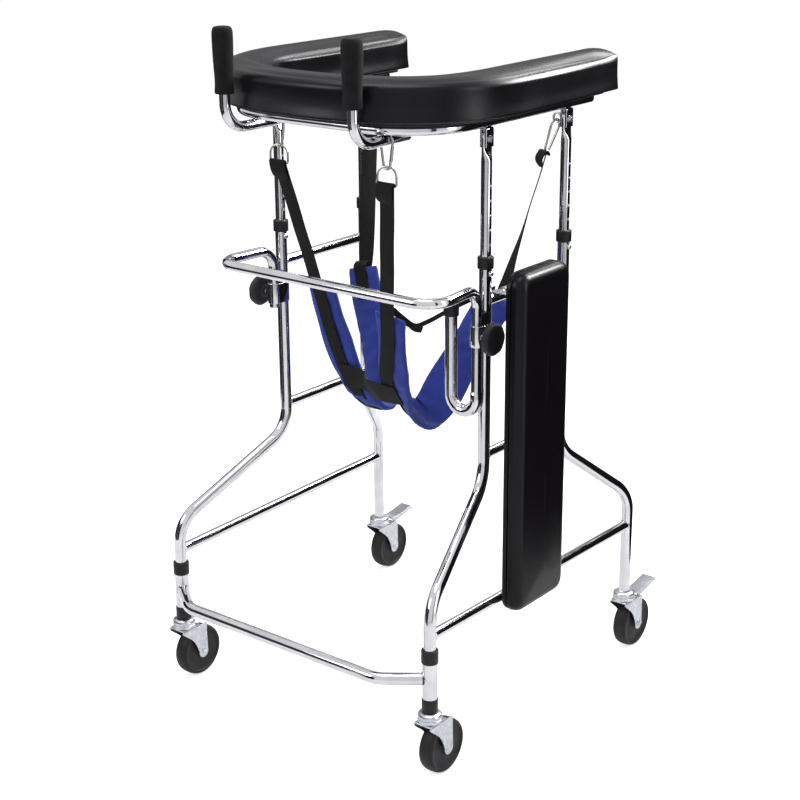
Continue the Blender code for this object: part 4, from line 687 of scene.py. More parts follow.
def make_arm_frame():
    """The U tube, a folded bracket over each post tongue, and black plugs in the tube's ends."""
    corners = [(x, y, ARM_TUBE_Z) for x, y in ((-POST_X, ARM_REAR), (-POST_X, ARM_FRONT), (POST_X, ARM_FRONT),
                                               (POST_X, ARM_REAR))]
    skins = [pipe(bent_path(corners, [ARM_BEND] * 2, 28), SMALL_RADIUS)]
    middle = ARM_TUBE_Z - SMALL_RADIUS - BRACKET_EAR / 2
    half = BRACKET_SLOT + BRACKET_EAR / 2
    for _, sign, y in POSTS:
        line = [(sign * POST_X + at * half, y, middle - drop)
                for at, drop in ((-1, BRACKET_DROP), (-1, 0), (1, 0), (1, BRACKET_DROP))]
        skins.append(sweep(softened(line, 1.8, 5), flat_section(BRACKET_WIDTH, BRACKET_EAR), (0, 1, 0)))
    make_piece("arm_tube", skins, CHROME, "top", "arm_frame")
    profile = [(8, -12), (8, -0.2), (9.4, 0), (9.4, 2.2), (7.8, 3.6), (3, 4.2)]
    plugs = [turned(profile, (sign * POST_X, ARM_REAR, ARM_TUBE_Z), (0, 1, 0), 32) for sign in SIDES.values()]
    make_piece("arm_tube_plugs", plugs, NYLON, "top")


def make_bracket_bolts():
    """Hexagon bolts and nuts through the brackets; the rear ones carry a welded wire eye."""
    grip = BRACKET_SLOT + BRACKET_EAR
    head = (((5.5, 0.6), (5.5, 3.0), (4.8, 3.5)), 6)
    washer = (((6.4, 0), (6.4, 0.7)), 28)
    for name, sign, y in POSTS:
        centre = (sign * POST_X, y, BOLT_Z)
        skins = [turned([(radius, at * (grip + height)) for radius, height in profile], centre, (1, 0, 0), sides)
                 for profile, sides in (head, washer) for at in (-1, 1)]
        skins.append(turned([(BOLT_RADIUS, -grip - 4), (BOLT_RADIUS, grip + 4.5)], centre, (1, 0, 0), 20))
        if name.startswith("rear"):
            eye = placed(circle(EYE_RADIUS, 32, (sign * EYE_X, BOLT_Z)), 1, y)
            skins.append(bar(eye, LINK_WIRE, (0, 1, 0), 12, closed=True))
        make_piece(f"bolt_{name}", skins, BOLT_STEEL, "top", f"bracket_bolt_{name}", crease=28)


def u_edges():
    """Outer and inner edge points of the U: straight arms, then a curve of powers of sine and cosine."""
    cosine, sine = arc(1, 0, 180, 91).T
    edges = []
    for half, front, rear_half, power in ((*PAD_FRONT, PAD_REAR_HALF, PAD_CURVES[0]),
                                          (*PAD_INNER_FRONT, PAD_INNER_FRONT[0], PAD_CURVES[1])):
        reach = front - PAD_CURVE_START
        curve = np.stack([-half * signed_power(cosine, power),
                          -PAD_CURVE_START - reach * np.clip(sine, 0, 1) ** power], -1)
        run = PAD_REAR + PAD_CURVE_START
        back = PAD_REAR - run * (1 - np.cos(np.linspace(0, math.pi / 2, 40)))
        lean = (back + PAD_CURVE_START) / run
        left = np.stack([-half + (half - rear_half) * lean, back], -1)[:-1]
        edges.append(np.concatenate([left, curve, left[::-1] * (-1, 1)]))
    return edges


def u_solid(section, end_round, outer_inset=0.0, inner_inset=0.0, end_inset=0.0, tuck=0.0):
    """A solid along the U: point = middle + across times (share of half width + offset), at a height.

    Near each end the half width shrinks along a circle, which rounds the corners in plan, the offsets
    fall by 0.6 exp(-(distance / 35 mm) squared), which makes the profile there boxier, and the
    end face is drawn in by the tuck times the sine of its height, with the hem left standing out.
    """
    rear = PAD_REAR - end_inset
    outer, inner = u_edges()
    across = unit(inner - outer)
    outer = outer + across * outer_inset
    inner = inner - across * inner_inset
    for edge in (outer, inner):
        edge[:, 1] = np.minimum(edge[:, 1], rear)
    keep = np.ones(len(outer), bool)
    keep[1:-1] = np.linalg.norm(np.diff(outer, axis=0), axis=1)[:-1] > 0.01
    outer, inner, across = outer[keep], inner[keep], across[keep]
    middle = (outer + inner) / 2
    half = np.linalg.norm(inner - outer, axis=1) / 2
    from_rear = rear - middle[:, 1]
    from_end = np.clip(from_rear, 0, end_round)
    half = half - end_round + np.sqrt(np.clip(end_round ** 2 - (end_round - from_end) ** 2, 0, None))
    share, offset, height = np.array(section, float).T
    boxy = 1 - 0.6 * np.exp(-(from_rear / 35) ** 2)
    width = half[:, None] * share + offset * boxy[:, None]
    flat = middle[:, None] + across[:, None] * width[..., None]
    rise = np.clip((height - height.min()) / PAD_THICKNESS, 0, 1)
    flat[..., 1] -= tuck * (0.35 * rise + np.sin(math.pi * rise)) * (1 - (from_end / end_round)[:, None]) ** 2
    return shell(np.concatenate([flat, np.broadcast_to(height[:, None], flat.shape[:2] + (1,))], -1))


def pad_section(shrink):
    """Pad profile as (share of half width, offset, height): drawn-in sides, round edge, crowned top."""
    top = PAD_BOTTOM + PAD_THICKNESS - shrink
    height = np.linspace(PAD_BOTTOM + 2, top - PAD_EDGE, 10)
    rise = height - PAD_BOTTOM
    inset = shrink * np.clip(rise / 20, 0, 1) + 3 * np.sin(math.pi * rise / (top - PAD_BOTTOM))
    edge = arc(PAD_EDGE, 180, 90, 11, (inset[-1] + PAD_EDGE, top - PAD_EDGE))[1:]
    side = np.concatenate([[(PAD_HEM, PAD_BOTTOM)], np.stack([inset, height], -1), edge])
    right = [(1, -i, h) for i, h in side]
    roof = [(s, -s * (inset[-1] + PAD_EDGE), top + PAD_CROWN * (1 - s ** 2)) for s in np.linspace(1, -1, 19)[1:-1]]
    left = [(-1, i, h) for i, h in side[::-1]]
    floor = [(s, -s * PAD_HEM, PAD_BOTTOM) for s in np.linspace(-1, 1, 9)[1:-1]]
    return right + roof + left + floor


def evened(values, mesh, rounds):
    """Values at a mesh's points, each averaged with its neighbours' mean a number of times."""
    pairs = np.empty(len(mesh.edges) * 2, np.int32)
    mesh.edges.foreach_get("vertices", pairs)
    first, second = pairs.reshape(-1, 2).T
    joined = np.bincount(pairs, minlength=len(values))[:, None]
    for _ in range(rounds):
        total = np.stack([np.bincount(first, values[second, k], len(values))
                          + np.bincount(second, values[first, k], len(values)) for k in range(3)], -1)
        values = 0.5 * values + 0.5 * total / joined
    return values


def mesh_points(mesh):
    """A mesh's points as an array, in metres."""
    points = np.empty(len(mesh.vertices) * 3)
    mesh.vertices.foreach_get("co", points)
    return points.reshape(-1, 3)


def swell(piece, cap, pinned_below, axis):
    """Inflates a cushion: its cover blown up as cloth, the move evened out, each point moved at most cap."""
    mesh = piece.data
    start = mesh_points(mesh)
    pinned = piece.vertex_groups.new(name="pinned")
    below = np.flatnonzero(start[:, axis] < pinned_below * MM + MIDDLE[axis])
    pinned.add(below.tolist(), 1.0, "REPLACE")
    cover = piece.modifiers.new("cover", "CLOTH")
    cover.settings.use_pressure = True
    cover.settings.uniform_pressure_force = 4.0
    cover.settings.vertex_group_mass = "pinned"
    cover.settings.effector_weights.gravity = 0.0
    cover.point_cache.frame_start = 1
    cover.point_cache.frame_end = 20
    for moment in range(1, 21):
        bpy.context.scene.frame_set(moment)
    blown = piece.evaluated_get(bpy.context.evaluated_depsgraph_get())
    moved = evened(mesh_points(blown.data) - start, mesh, 60)
    length = np.linalg.norm(moved, axis=1, keepdims=True)
    most = cap * MM
    moved *= most * np.tanh(length / most) / np.maximum(length, 1e-9)
    piece.modifiers.remove(cover)
    piece.vertex_groups.clear()
    mesh.vertices.foreach_set("co", (start + moved).ravel())
    mesh.update()
    bpy.context.scene.frame_set(1)


def finish_cushion(pad, cap, pinned_below, axis):
    swell(pad, cap, pinned_below, axis)
    pad.data.shade_smooth()
    finer = pad.modifiers.new("finer", "SUBSURF")
    finer.levels = 1
    finer.render_levels = 1


def make_arm_pad():
    """The board and the upholstered U pad on it."""
    board = placed(rectangle(-1, 1, BOARD_BOTTOM, BOARD_BOTTOM + BOARD_THICKNESS), 1, 0)
    make_piece("pad_board", [u_solid(board, 10, BOARD_INSET, 10.8, BOARD_INSET)], BOARD_PAINT, "top", "arm_board",
               bevel=0.8)
    section = pad_section(PAD_SHRINK)
    pad = make_piece("arm_cushion", [u_solid(section, PAD_END_ROUND, tuck=PAD_END_TUCK)], ARM_VINYL, "top",
                     "arm_pad", crease=180)
    finish_cushion(pad, PAD_SWELL, PAD_BOTTOM + PINNED, axis=2)


def make_grips():
    """Bent chrome tubes on blocks below the board, and waisted foam grips on their risen ends."""
    top = GRIP_BOTTOM + GRIP_LENGTH - 8
    back = GRIP_TUBE_REAR - 25
    foam = smooth_path([(15.8, 0), (16.6, 4), (15.7, 20), (16.6, 42), (17.4, 60), (17.9, 80), (18.0, 96),
                        (17.2, 105), (14.0, 110.5), (6.0, 112), (1.0, 112.1)], 6)
    foam = np.concatenate([[(9.9, 0.8)], foam])
    for name, sign in SIDES.items():
        x = sign * GRIP_X
        path = bent_path([(x, GRIP_Y, top), (x, GRIP_Y, GRIP_TUBE_Z), (x, GRIP_TUBE_REAR, GRIP_TUBE_Z)], [GRIP_BEND],
                         20)
        block = slab(rectangle(x - BLOCK_HALF, x + BLOCK_HALF, back - BLOCK_LENGTH, back), 2,
                     GRIP_TUBE_Z, BOARD_BOTTOM - GAP)
        make_piece(f"grip_pipe_{name}", [pipe(path, SMALL_RADIUS, (1, 0, 0)), block], CHROME, "top",
                   f"grip_tube_{name}")
        screws = [turned([(4.2, 0), (4.2, 1.2), (2.6, 2.4)], (x + sign * BLOCK_HALF, back - at, SCREW_Z),
                         (sign, 0, 0), 20) for at in (6.5, 18.5)]
        make_piece(f"block_screws_{name}", screws, BOLT_STEEL, "top")
        make_piece(f"foam_grip_{name}", [turned(foam, (x, GRIP_Y, GRIP_BOTTOM))], FOAM, "top", f"grip_{name}",
                   crease=50)


def make_handrail():
    """One bent tube: down, forward, across and back; its right leg widens into the hooked holder."""
    y = HANDRAIL_Y
    bar_y = y - HANDRAIL_REACH
    wide = POST_X + HANDRAIL_FLARE
    upper = bent_path([(-POST_X, y, HANDRAIL_LEFT_END), (-POST_X, y, HANDRAIL_Z), (-wide, bar_y, HANDRAIL_Z),
                       (wide, bar_y, HANDRAIL_Z), (POST_X, y, HANDRAIL_Z), (POST_X, y, HOLDER_SOCKET + 3)],
                      HANDRAIL_BENDS, 20)
    lower = bent_path([(POST_X, y, HOLDER_SOCKET), (POST_X, y, HOLDER_CORNER_Z), (HOLDER_X, y, HOLDER_CORNER_Z),
                       (HOLDER_X, y, HOLDER_TOP)], [HOLDER_BEND] * 2, 24)
    radii = np.repeat([SMALL_RADIUS, FRAME_RADIUS], [len(upper), len(lower)])
    skins = [pipe(np.concatenate([upper, lower]), radii, (1, 0, 0), 36)]
    ring = [(SMALL_RADIUS, HOLDER_SOCKET + 4), (SMALL_RADIUS + 1.2, HOLDER_SOCKET + 1.5),
            (FRAME_RADIUS + 0.3, HOLDER_SOCKET)]
    skins.append(turned(ring, (POST_X, y, 0), sides=40))
    make_piece("handrail_tube", skins, CHROME, "handrail", "handrail")
    top = HOLDER_TOP + 12
    bore = FRAME_RADIUS + GAP
    cap = softened([(bore, top - 27), (13.8, top - 27), (13.8, top), (9.9, top), (9.9, HOLDER_TOP + GAP),
                    (bore, HOLDER_TOP + GAP)], 0.9)
    make_piece("holder_mouth_cap", [turned(cap, (HOLDER_X, y, 0), closed=True)], NYLON, "handrail", "holder_cap")


def make_clamps():
    """Steel bands round post and handrail, nuts, and lobed knobs on screws."""
    bore = FRAME_RADIUS + GAP
    front = HANDRAIL_Y - SMALL_RADIUS - GAP + bore
    radius = bore + CLAMP_BAND[1] / 2
    outside = bore + CLAMP_BAND[1]
    nut = [(6.2, outside - 0.6), (6.2, outside + 4), (5.4, outside + 5), (3.4, outside + 5)]
    for name, sign in SIDES.items():
        x = sign * POST_X
        loop = np.concatenate([arc(radius, 0, 180, 25, (x, FRONT_POST_Y)), arc(radius, 180, 360, 25, (x, front))])
        skins = [sweep(placed(loop, 2, CLAMP_Z), flat_section(*CLAMP_BAND), (0, 0, 1), closed=True),
                 turned(nut, (x, HANDRAIL_Y, CLAMP_Z), (sign, 0, 0), 6)]
        make_piece(f"clamp_{name}", skins, CHROME, "frame", f"clamp_band_{name}", crease=30)
        make_knob(name, sign, x)
        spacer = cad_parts[f"clamp_spacer_{name}"]
        spacer.data.materials.clear()
        spacer.data.materials.append(NYLON)


def make_knob(name, sign, x):
    """A lobed knob: radius = profile times (full less a cosine dip), on a threaded screw."""
    angle = np.arange(140) * 2 * math.pi / 140
    profile = smooth_path([(0.42, 0.0), (0.62, 0.02), (0.86, 0.10), (0.985, 0.28), (1.0, 0.48), (0.98, 0.70),
                           (0.88, 0.88), (0.66, 0.97), (0.40, 1.0), (0.30, 0.985), (0.05, 0.98)], 4)
    share, depth = profile[:, :1], profile[:, 1:]
    dip = KNOB_DIP * (0.5 - 0.5 * np.cos(KNOB_LOBES * angle)) ** 1.4
    radius = share * KNOB_RADIUS - dip * np.clip(share * 1.6 - 0.6, 0, 1)
    out = np.broadcast_to(x + sign * (KNOB_FACE[0] + KNOB_FACE[1] * depth), radius.shape)
    body = shell(np.stack([out, HANDRAIL_Y + radius * np.cos(angle), CLAMP_Z + radius * np.sin(angle)], -1))
    place = (x, HANDRAIL_Y, CLAMP_Z)
    hub = turned([(10, 21.5), (11.8, 23.5), (12.2, 26.2)], place, (sign, 0, 0), 32)
    make_piece(f"knob_{name}", [body, hub], KNOB_PLASTIC, f"knob_{name}", f"clamp_knob_{name}", crease=50)
    thread = [(2.8 + 0.3 * (-1) ** k, 10 + 13 * k / 28) for k in range(29)]
    make_piece(f"knob_screw_{name}", [turned(thread, place, (sign, 0, 0), 20)], BOLT_STEEL, f"knob_{name}")


def make_caster_head(name, x, y):
    """Stem, hexagon nut, domed bearing cup with a groove, and the kingpin's rivet below."""
    groove = HEAD_RADIUS - 1.4
    cup = softened([(6, 129.7), (16, 129.7), (groove, 127.5), (HEAD_RADIUS, 124.5), (HEAD_RADIUS, 120.7),
                    (groove, 120), (groove, 118.6), (HEAD_RADIUS, 117.9), (HEAD_RADIUS, 111.8), (5, 111.8)], 0.6, 3)
    stem = [(9.2, 125), (9.2, 175)]
    nut = [(10.6, 129), (11.2, 129.6), (11.2, 131.6), (10.6, 132.2)]
    rivet = [(5, 113), (5, 108.4), (8, 108.4), (7.6, 106.8), (5, 106), (1, 105.9)]
    skins = [turned(profile, (x, y, 0), sides=sides)
             for profile, sides in ((stem, 48), (nut, 6), (cup, 64), (rivet, 48))]
    make_piece(f"caster_cup_{name}", skins, ZINC, "frame", f"caster_head_{name}", crease=30)


def fork_side(y):
    """Side outline of the fork, smooth from the cup down the swept nose to the round foot."""
    axle_y = y + TRAIL
    foot = arc(11.8, 170, 375, 22, (axle_y - 1.5, 49))
    nose = [(y - 20.4, FORK_TOP - 0.8), (y - 21.2, FORK_TOP - 6.8), (y - 11.8, FORK_TOP - 15),
            (y + 4, FORK_TOP - 29), (y + 14, 66.5), foot[0]]
    rear = [foot[-1], (axle_y + 9, FORK_TOP - 20.4), (axle_y + 9.3, FORK_TOP - 6), (axle_y + 8, FORK_TOP - 3.4),
            (y + 26.2, FORK_TOP - 2.8), (y + 24, FORK_TOP - 0.6)]
    return np.concatenate([smooth_path(nose, 6)[:-1], foot, smooth_path(rear, 5)[1:]])


def make_fork(name, x, y):
    """Pressed fork: two side sheets, the crown plate between them, axle rivets and the pedal's pin."""
    skins = [slab(fork_side(y), 0, x + at * FORK_HALF, x + at * (FORK_HALF - FORK_SHEET)) for at in (-1, 1)]
    crown = softened([(y - 20.6, FORK_TOP - 2.8), (y - 20.6, FORK_TOP), (y + 24.2, FORK_TOP),
                      (y + 25.8, FORK_TOP - 2.8)], 0.8, 3)
    skins.append(slab(crown, 0, x - FORK_HALF, x + FORK_HALF))
    make_piece(f"fork_{name}", skins, ZINC, f"fork_{name}", f"caster_fork_{name}", bevel=0.6)
    washer = [(4, 10 - FORK_HALF), (4, 0), (7.8, 0), (7.8, 0.4), (7.4, 1), (6.2, 1.2)]
    head = [(6.2, 0.8), (6.2, 2.8), (5.2, 3.4), (3, 3.4), (2.6, 3.9)]
    rivets = [turned(np.array(profile) + (0, FORK_HALF), (x, y + TRAIL, WHEEL_RADIUS), (at, 0, 0), sides)
              for at in (-1, 1) for profile, sides in ((washer, 32), (head, 6))]
    if name.startswith("rear"):
        pin = [(1.4, -FORK_HALF - 1), (2, -FORK_HALF - 0.4), (2, FORK_HALF + 0.4), (1.4, FORK_HALF + 1)]
        rivets.append(turned(pin, (x, y + PEDAL_PIVOT[0], PEDAL_PIVOT[1]), (1, 0, 0), 20))
    make_piece(f"axle_{name}", rivets, BOLT_STEEL, f"fork_{name}", crease=50)


def make_wheel(name, x, y):
    """Wheel turned from one profile: crowned tread, round shoulders, dished web and a raised hub."""
    face = smooth_path([(4.3, 14.5), (12, 14.5), (14.2, 13.8), (16.5, 11.2), (30, 10.8), (39.2, 11.8), (42, 13.8),
                        (45, 14.3), (47.8, 12.5), (49.2, 9), (49.9, 4.5), (WHEEL_RADIUS, 0)], 4)
    profile = np.concatenate([face, face[::-1][1:] * (1, -1)])
    make_piece(f"wheel_body_{name}", [turned(profile, (x, y + TRAIL, WHEEL_RADIUS), (1, 0, 0), 96, closed=True)],
               WHEEL_PLASTIC, f"wheel_{name}", f"wheel_{name}")


def make_pedal(name, x, y):
    """Brake pedal: a pressed plate that rises to its tip and turns down there, on two pivot ears."""
    pivot_y = y + PEDAL_PIVOT[0]
    tip_y = y + PEDAL_TIP
    line = bent_path([(x, y + 28.5, 116.3), (x, pivot_y + 10, 116.3), (x, pivot_y + 30, 118.9),
                      (x, tip_y - 1.4, 124.6), (x, tip_y - 1.2, 118)], [20, 40, 3], 8)
    skins = [sweep(line, flat_section(*PEDAL_SECTION), (1, 0, 0))]
    ear = [*arc(4.2, 160, 380, 16, (pivot_y, PEDAL_PIVOT[1])), (pivot_y + 8.5, 116), (pivot_y - 6.5, 116)]
    flange = [(pivot_y - 6, 115.8), (pivot_y - 4, 109), (pivot_y + 12, 108), (pivot_y + 33, 112.8),
              (tip_y - 6, 119.2), (tip_y - 2.2, 123.6), (pivot_y + 30, 118), (pivot_y + 10, 115.8)]
    for at in (-1, 1):
        skins += [slab(ear, 0, x + at * 13.8, x + at * 11.8), slab(flange, 0, x + at * 13.9, x + at * 11.9)]
    make_piece(f"pedal_plate_{name}", skins, ZINC, f"pedal_{name}", f"brake_pedal_{name}", crease=35)


def rounded_rectangle(half_width, half_length, radius):
    """Outline of a rectangle with arcs at its corners, as points at even distances."""
    ring = [arc(radius, 90 * quarter, 90 * quarter + 90, 10, (a * (half_width - radius), b * (half_length - radius)))
            for quarter, (a, b) in enumerate(((1, 1), (-1, 1), (-1, -1), (1, -1)))]
    ring = np.concatenate(ring + [ring[0][:1]])
    length = travelled(ring)
    return sampled(np.linspace(0, length[-1], OUTLINE_POINTS, endpoint=False), length, ring)


def seat_rings(levels, corner):
    """Rings of the seat's outline, drawn in and set at each level's depth."""
    return shell(np.array([placed(SEAT_MIDDLE + rounded_rectangle(SEAT_HALF[0] - inset, SEAT_HALF[1] - inset,
                                                                  max(corner - inset, 6)), 0, depth)
                           for inset, depth in levels]))


def make_seat():
    """The hanging seat: board, upholstered pad, steel hooks with screws."""
    back, face = SEAT_BACK, SEAT_BACK + SEAT_BOARD
    levels = [(1.8, back), (0.6, back + 0.6), (0, back + 1.8), (0, face - 0.4), (0.2, face)]
    make_piece("seat_back_board", [seat_rings(levels, BOARD_CORNER)], SHADED_SEAT_VINYL, "seat", "seat_board")
    shrink = SEAT_SHRINK
    start = face + GAP
    end = start + SEAT_PAD - shrink
    levels = [(0.3, start), (0.3, start + 2), (shrink, start + 6), (shrink, end - SEAT_EDGE)]
    levels += [*arc(SEAT_EDGE, 180, 90, 9, (shrink + SEAT_EDGE, end - SEAT_EDGE))[1:]]
    levels += [(SEAT_EDGE + shrink + SEAT_CROWN[0] * t, end + SEAT_CROWN[1] * math.sin(math.pi / 2 * t))
               for t in np.linspace(0, 1, 13)[1:]]
    pad = make_piece("seat_cushion", [seat_rings(levels, PAD_CORNER)], SHADED_SEAT_VINYL, "seat", "seat_pad",
                     crease=180)
    finish_cushion(pad, SEAT_SWELL, start + PINNED, axis=0)
    make_hooks()


def make_hooks():
    """Flat steel hooks over the rail, bent down behind the board, with a joining strip and screws."""
    radius = SMALL_RADIUS + GAP + HOOK_SHEET / 2
    back = SEAT_BACK - GAP - HOOK_SHEET / 2
    top = RAIL_HEIGHTS[0] + radius
    skins, screws = [], []
    for y in HOOK_YS:
        over = placed(arc(radius, 195, 90, 16, (POST_X, RAIL_HEIGHTS[0])), 1, y)
        down = bent_path([over[-1], (back, y, top), (back, y, top - HOOK_DROP)], [2], 5)[1:]
        skins.append(sweep(np.concatenate([over, down]), flat_section(HOOK_WIDTH, HOOK_SHEET), (0, 1, 0)))
        screws += [turned([(4, HOOK_SHEET / 2), (3.8, 2.2), (2, 3), (0.4, 3.1)], (back, y, top - drop),
                          (-1, 0, 0), 20) for drop in (12, 30)]
    skins.append(slab(rectangle(*HOOK_YS, top - HOOK_DROP, top - 19.5), 0, back - 1.1, back + 1.1))
    make_piece("seat_hook_plates", skins, ZINC, "seat", "seat_hooks")
    make_piece("seat_hook_screws", screws, BOLT_STEEL, "seat")


def sling_frames(name):
    """Path of a thigh pad with its width along X, turned about the travel by the twist at the bend."""
    path = smooth_path(SLING[name], 14)
    along = path_directions(path)
    past = travelled(path) / travelled(path)[-1] - SLING_BEND
    turn = np.radians(SLING_TWIST[name]) * np.exp(-(past / np.where(past < 0, 0.13, 0.22)) ** 2)[:, None]
    level = unit((1, 0, 0) - along * along[:, :1])
    level = level * np.cos(turn) + unit(np.cross(along, level)) * np.sin(turn)
    return path, level, unit(np.cross(along, level)), along


def wrinkles(along, across, seed, size, height):
    """Slow creases: a sum of slanted waves, each with its own direction, place and fading."""
    chance = np.random.default_rng(seed)
    total = np.zeros(np.broadcast(along, across).shape)
    for _ in range(7):
        lean = chance.uniform(-0.8, 0.8)
        middle = chance.uniform(along.min(), along.max())
        spread = chance.uniform(15, 50)
        wave = np.cos((along + lean * across - middle) * 2 * math.pi / (size * chance.uniform(0.7, 1.5)))
        total += wave * np.exp(-((along - middle) / spread) ** 2)
    return total * height


def thread_lay(across, along):
    """The lay of the threads at each point of a grid: distance across and along the cloth."""
    across, along = np.broadcast_arrays(across, along)
    return np.stack([across, along, np.zeros(across.shape)], -1).reshape(-1, 3)


def make_sling_pads():
    """Thigh pads: a flat cloth tube round wadding, sewn thin at both edges, with folds at the bend."""
    turn = np.linspace(0, 2 * math.pi, 64, endpoint=False)
    share = signed_power(np.cos(turn), 0.62)
    lens = signed_power(np.sin(turn), 0.75)
    lens = np.where(lens < 0, lens * 1.12, lens)
    for name, seed in (("left", 4), ("right", 9)):
        path, level, across, along = sling_frames(name)
        distance = travelled(path)[:, None]
        narrow = 0.84 + 0.16 * np.clip((distance / distance[-1] - 0.30) / 0.3, 0, 1) if name == "right" else 0.92
        wide = share * SLING_WIDTH / 2 * narrow
        ends = np.clip(np.minimum(distance, distance[-1] - distance) / 12, 0, 1)
        ends = 0.35 + 0.65 * np.sqrt(ends * (2 - ends))
        edge = 2.5 * np.sin(distance / 31 + seed) * np.sign(wide)
        folds = wrinkles(distance, wide, seed, 22, 0.9) + wrinkles(distance, wide, seed + 20, 55, 1.4)
        for place, lean, height in SLING_CREASES[name]:
            off = np.abs(distance - place * distance[-1] - lean * wide)
            folds = folds + height * np.exp(-off / 11) * (1 - np.exp(-off / 1.5) * 0.3)
        thick = lens * SLING_THICKNESS / 2 * ends * 0.92 + folds * (1 - share ** 4 * 0.6)
        points = path[:, None] + level[:, None] * (wide + edge)[..., None] + across[:, None] * thick[..., None]
        pad = make_piece(f"thigh_pad_{name}", [shell(points, weave=thread_lay(wide, distance))], BLUE_CLOTH, "top",
                         f"sling_pad_{name}", crease=60)
        make_pad_seams(name, distance[:, 0], folds[:, 3:4], path, level, across, along)


def make_pad_seams(name, distance, lift, *frames):
    """Stitches along both edges of a thigh pad, on its face and back, one for every pitch."""
    marks = np.arange(12, distance[-1] - 12, STITCH_PITCH)
    lift, place, sideways, normal, travel = (sampled(marks, distance, values) for values in (lift, *frames))
    sideways, normal, travel = unit(sideways), unit(normal), unit(travel)
    skins = [stitch_row(place + sideways * side * (SLING_WIDTH / 2 - SEAM_INSET) + normal * (face * 4.2 + lift * 0.6),
                        travel, normal * face) for side in (-1, 1) for face in (-1, 1)]
    make_piece(f"thigh_pad_seams_{name}", skins, THREAD, "top", crease=180)


def stitch_row(middles, travel, normal, length=2.6, thick=0.5):
    """A row of short stitches: each a little flat box, long along the seam, proud of the cloth."""
    corners = np.array([(x, y, z) for z in (-1, 1) for x, y in rectangle(-1, 1, -1, 1)]) * (length, thick, thick) / 2
    axes = np.stack([travel, np.cross(travel, normal), normal], 1)
    points = (middles[:, None] + corners @ axes).reshape(-1, 3)
    box_faces = np.array([(0, 3, 2, 1), (4, 5, 6, 7), (0, 1, 5, 4), (1, 2, 6, 5), (2, 3, 7, 6), (3, 0, 4, 7)])
    faces = (box_faces + 8 * np.arange(len(middles))[:, None, None]).reshape(-1, 4).tolist()
    return points, faces, None


def strap_band(path, side, width=STRAP_WIDTH, thickness=STRAP_THICKNESS, seed=0):
    """A flat strap: a rounded flat section along a path whose width direction is given at each point."""
    along = path_directions(path)
    side = np.broadcast_to(np.array(side, float), path.shape)
    side = unit(side - along * np.sum(side * along, axis=1, keepdims=True))
    section = flat_section(width, thickness, 0.45, 4)
    distance = travelled(path)[:, None]
    lift = section[:, 1] + 0.4 * np.sin(distance / 17 + seed)
    points = path[:, None] + side[:, None] * section[:, :1] + np.cross(along, side)[:, None] * lift[..., None]
    return shell(points, weave=thread_lay(section[:, 0], distance))


def strap_route(name):
    """A strap's centre line from the front ring, behind its pad, to the rear link, with its widths."""
    sign = SIDES[name]
    path, level, across, _ = sling_frames(name)
    share = travelled(path)[:, None] / travelled(path)[-1]
    slide = STRAP_SLIDE[name] * np.sin(math.pi * np.clip(share / 0.62, 0, 1)) ** 2
    under = path + across * (SLING_THICKNESS / 2 + 1.6) - level * slide
    front = np.array([sign * GRIP_X, FRONT_LINK_Y[name], FRONT_LINK_LOW - 26])
    rear = np.array(REAR_LINK_LOW) * (sign, 1, 1) - (0, 0, 6)
    front_run = front + (under[0] - front) * np.linspace(0, 1, 24, endpoint=False)[:, None]
    rise = np.linspace(0, 1, 25)[1:, None]
    rear_run = under[-1] + (rear - under[-1]) * rise
    turn = np.radians(EDGE_ON[name]) * (1 - np.clip(1 - rise / 0.68, 0, 1) ** 2)
    twist = np.concatenate([np.cos(turn), -sign * np.sin(turn), np.zeros_like(turn)], 1)
    widths = np.concatenate([np.broadcast_to([1.0, 0, 0], front_run.shape), level, twist])
    return np.concatenate([front_run, under, rear_run]), widths


def make_straps():
    """Both straps, the wide band that joins them below, their folded ends and the thin tie."""
    skins = []
    for seed, name in enumerate(SIDES):
        route, widths = strap_route(name)
        skins.append(strap_band(route, widths, seed=seed))
        skins.append(folded_end(route[0], route[1] - route[0], (1, 0, 0), 36, 4.2, 34))
        lean = math.radians(EDGE_ON[name] - 28)
        side = (math.cos(lean), -SIDES[name] * math.sin(lean), 0)
        skins.append(folded_end(route[-1], route[-2] - route[-1], side, 24, 5, STRAP_WIDTH))
    path, level, across, along = sling_frames("left")
    inside = path - across * (SLING_THICKNESS / 2 + 1.2)
    lap = [path[-1] + along[-1] * 12, inside[-1] + along[-1] * 4, inside[-3], inside[-7], inside[-11]]
    skins += [strap_band(smooth_path(lap, 5), level[-1], seed=7), cross_band(), *thin_tie()]
    make_piece("sling_straps", skins, WEBBING, "top", "sling_webbing", crease=50)
    make_strap_stitches()
    make_rings()


def forward(direction):
    """The same direction or its opposite, whichever looks to the front."""
    return -direction if direction[1] > 0 else direction


def folded_end(top, down, side, length, bulge, width):
    """A strap's end: over the ring's wire and down the outside as a short round-ended tail."""
    down = unit(down)
    side = unit(np.array(side, float))
    outward = forward(unit(np.cross(down, side)))
    turn = np.linspace(0, math.pi, 14)[:, None]
    lobe = top + outward * bulge * (1 - np.cos(turn)) - down * (bulge + 1) * np.sin(turn)
    share = np.linspace(0, 1, 16)[1:, None]
    swell_out = bulge * 0.7 * np.sin(math.pi * share) - (2 * bulge - 2.8) * share ** 2
    path = np.concatenate([lobe, lobe[-1] + down * length * share + outward * swell_out])
    points, faces, weave = strap_band(path, side, width, seed=3)
    points = points.reshape(len(path), -1, 3)
    narrow = np.ones((len(path), 1))
    narrow[-7:, 0] = np.sqrt(1 - np.linspace(0, 1, 7) ** 2 * 0.82)
    reach = (points - path[:, None]) @ side
    return (points + side * (reach * (narrow - 1))[..., None]).reshape(-1, 3), faces, weave


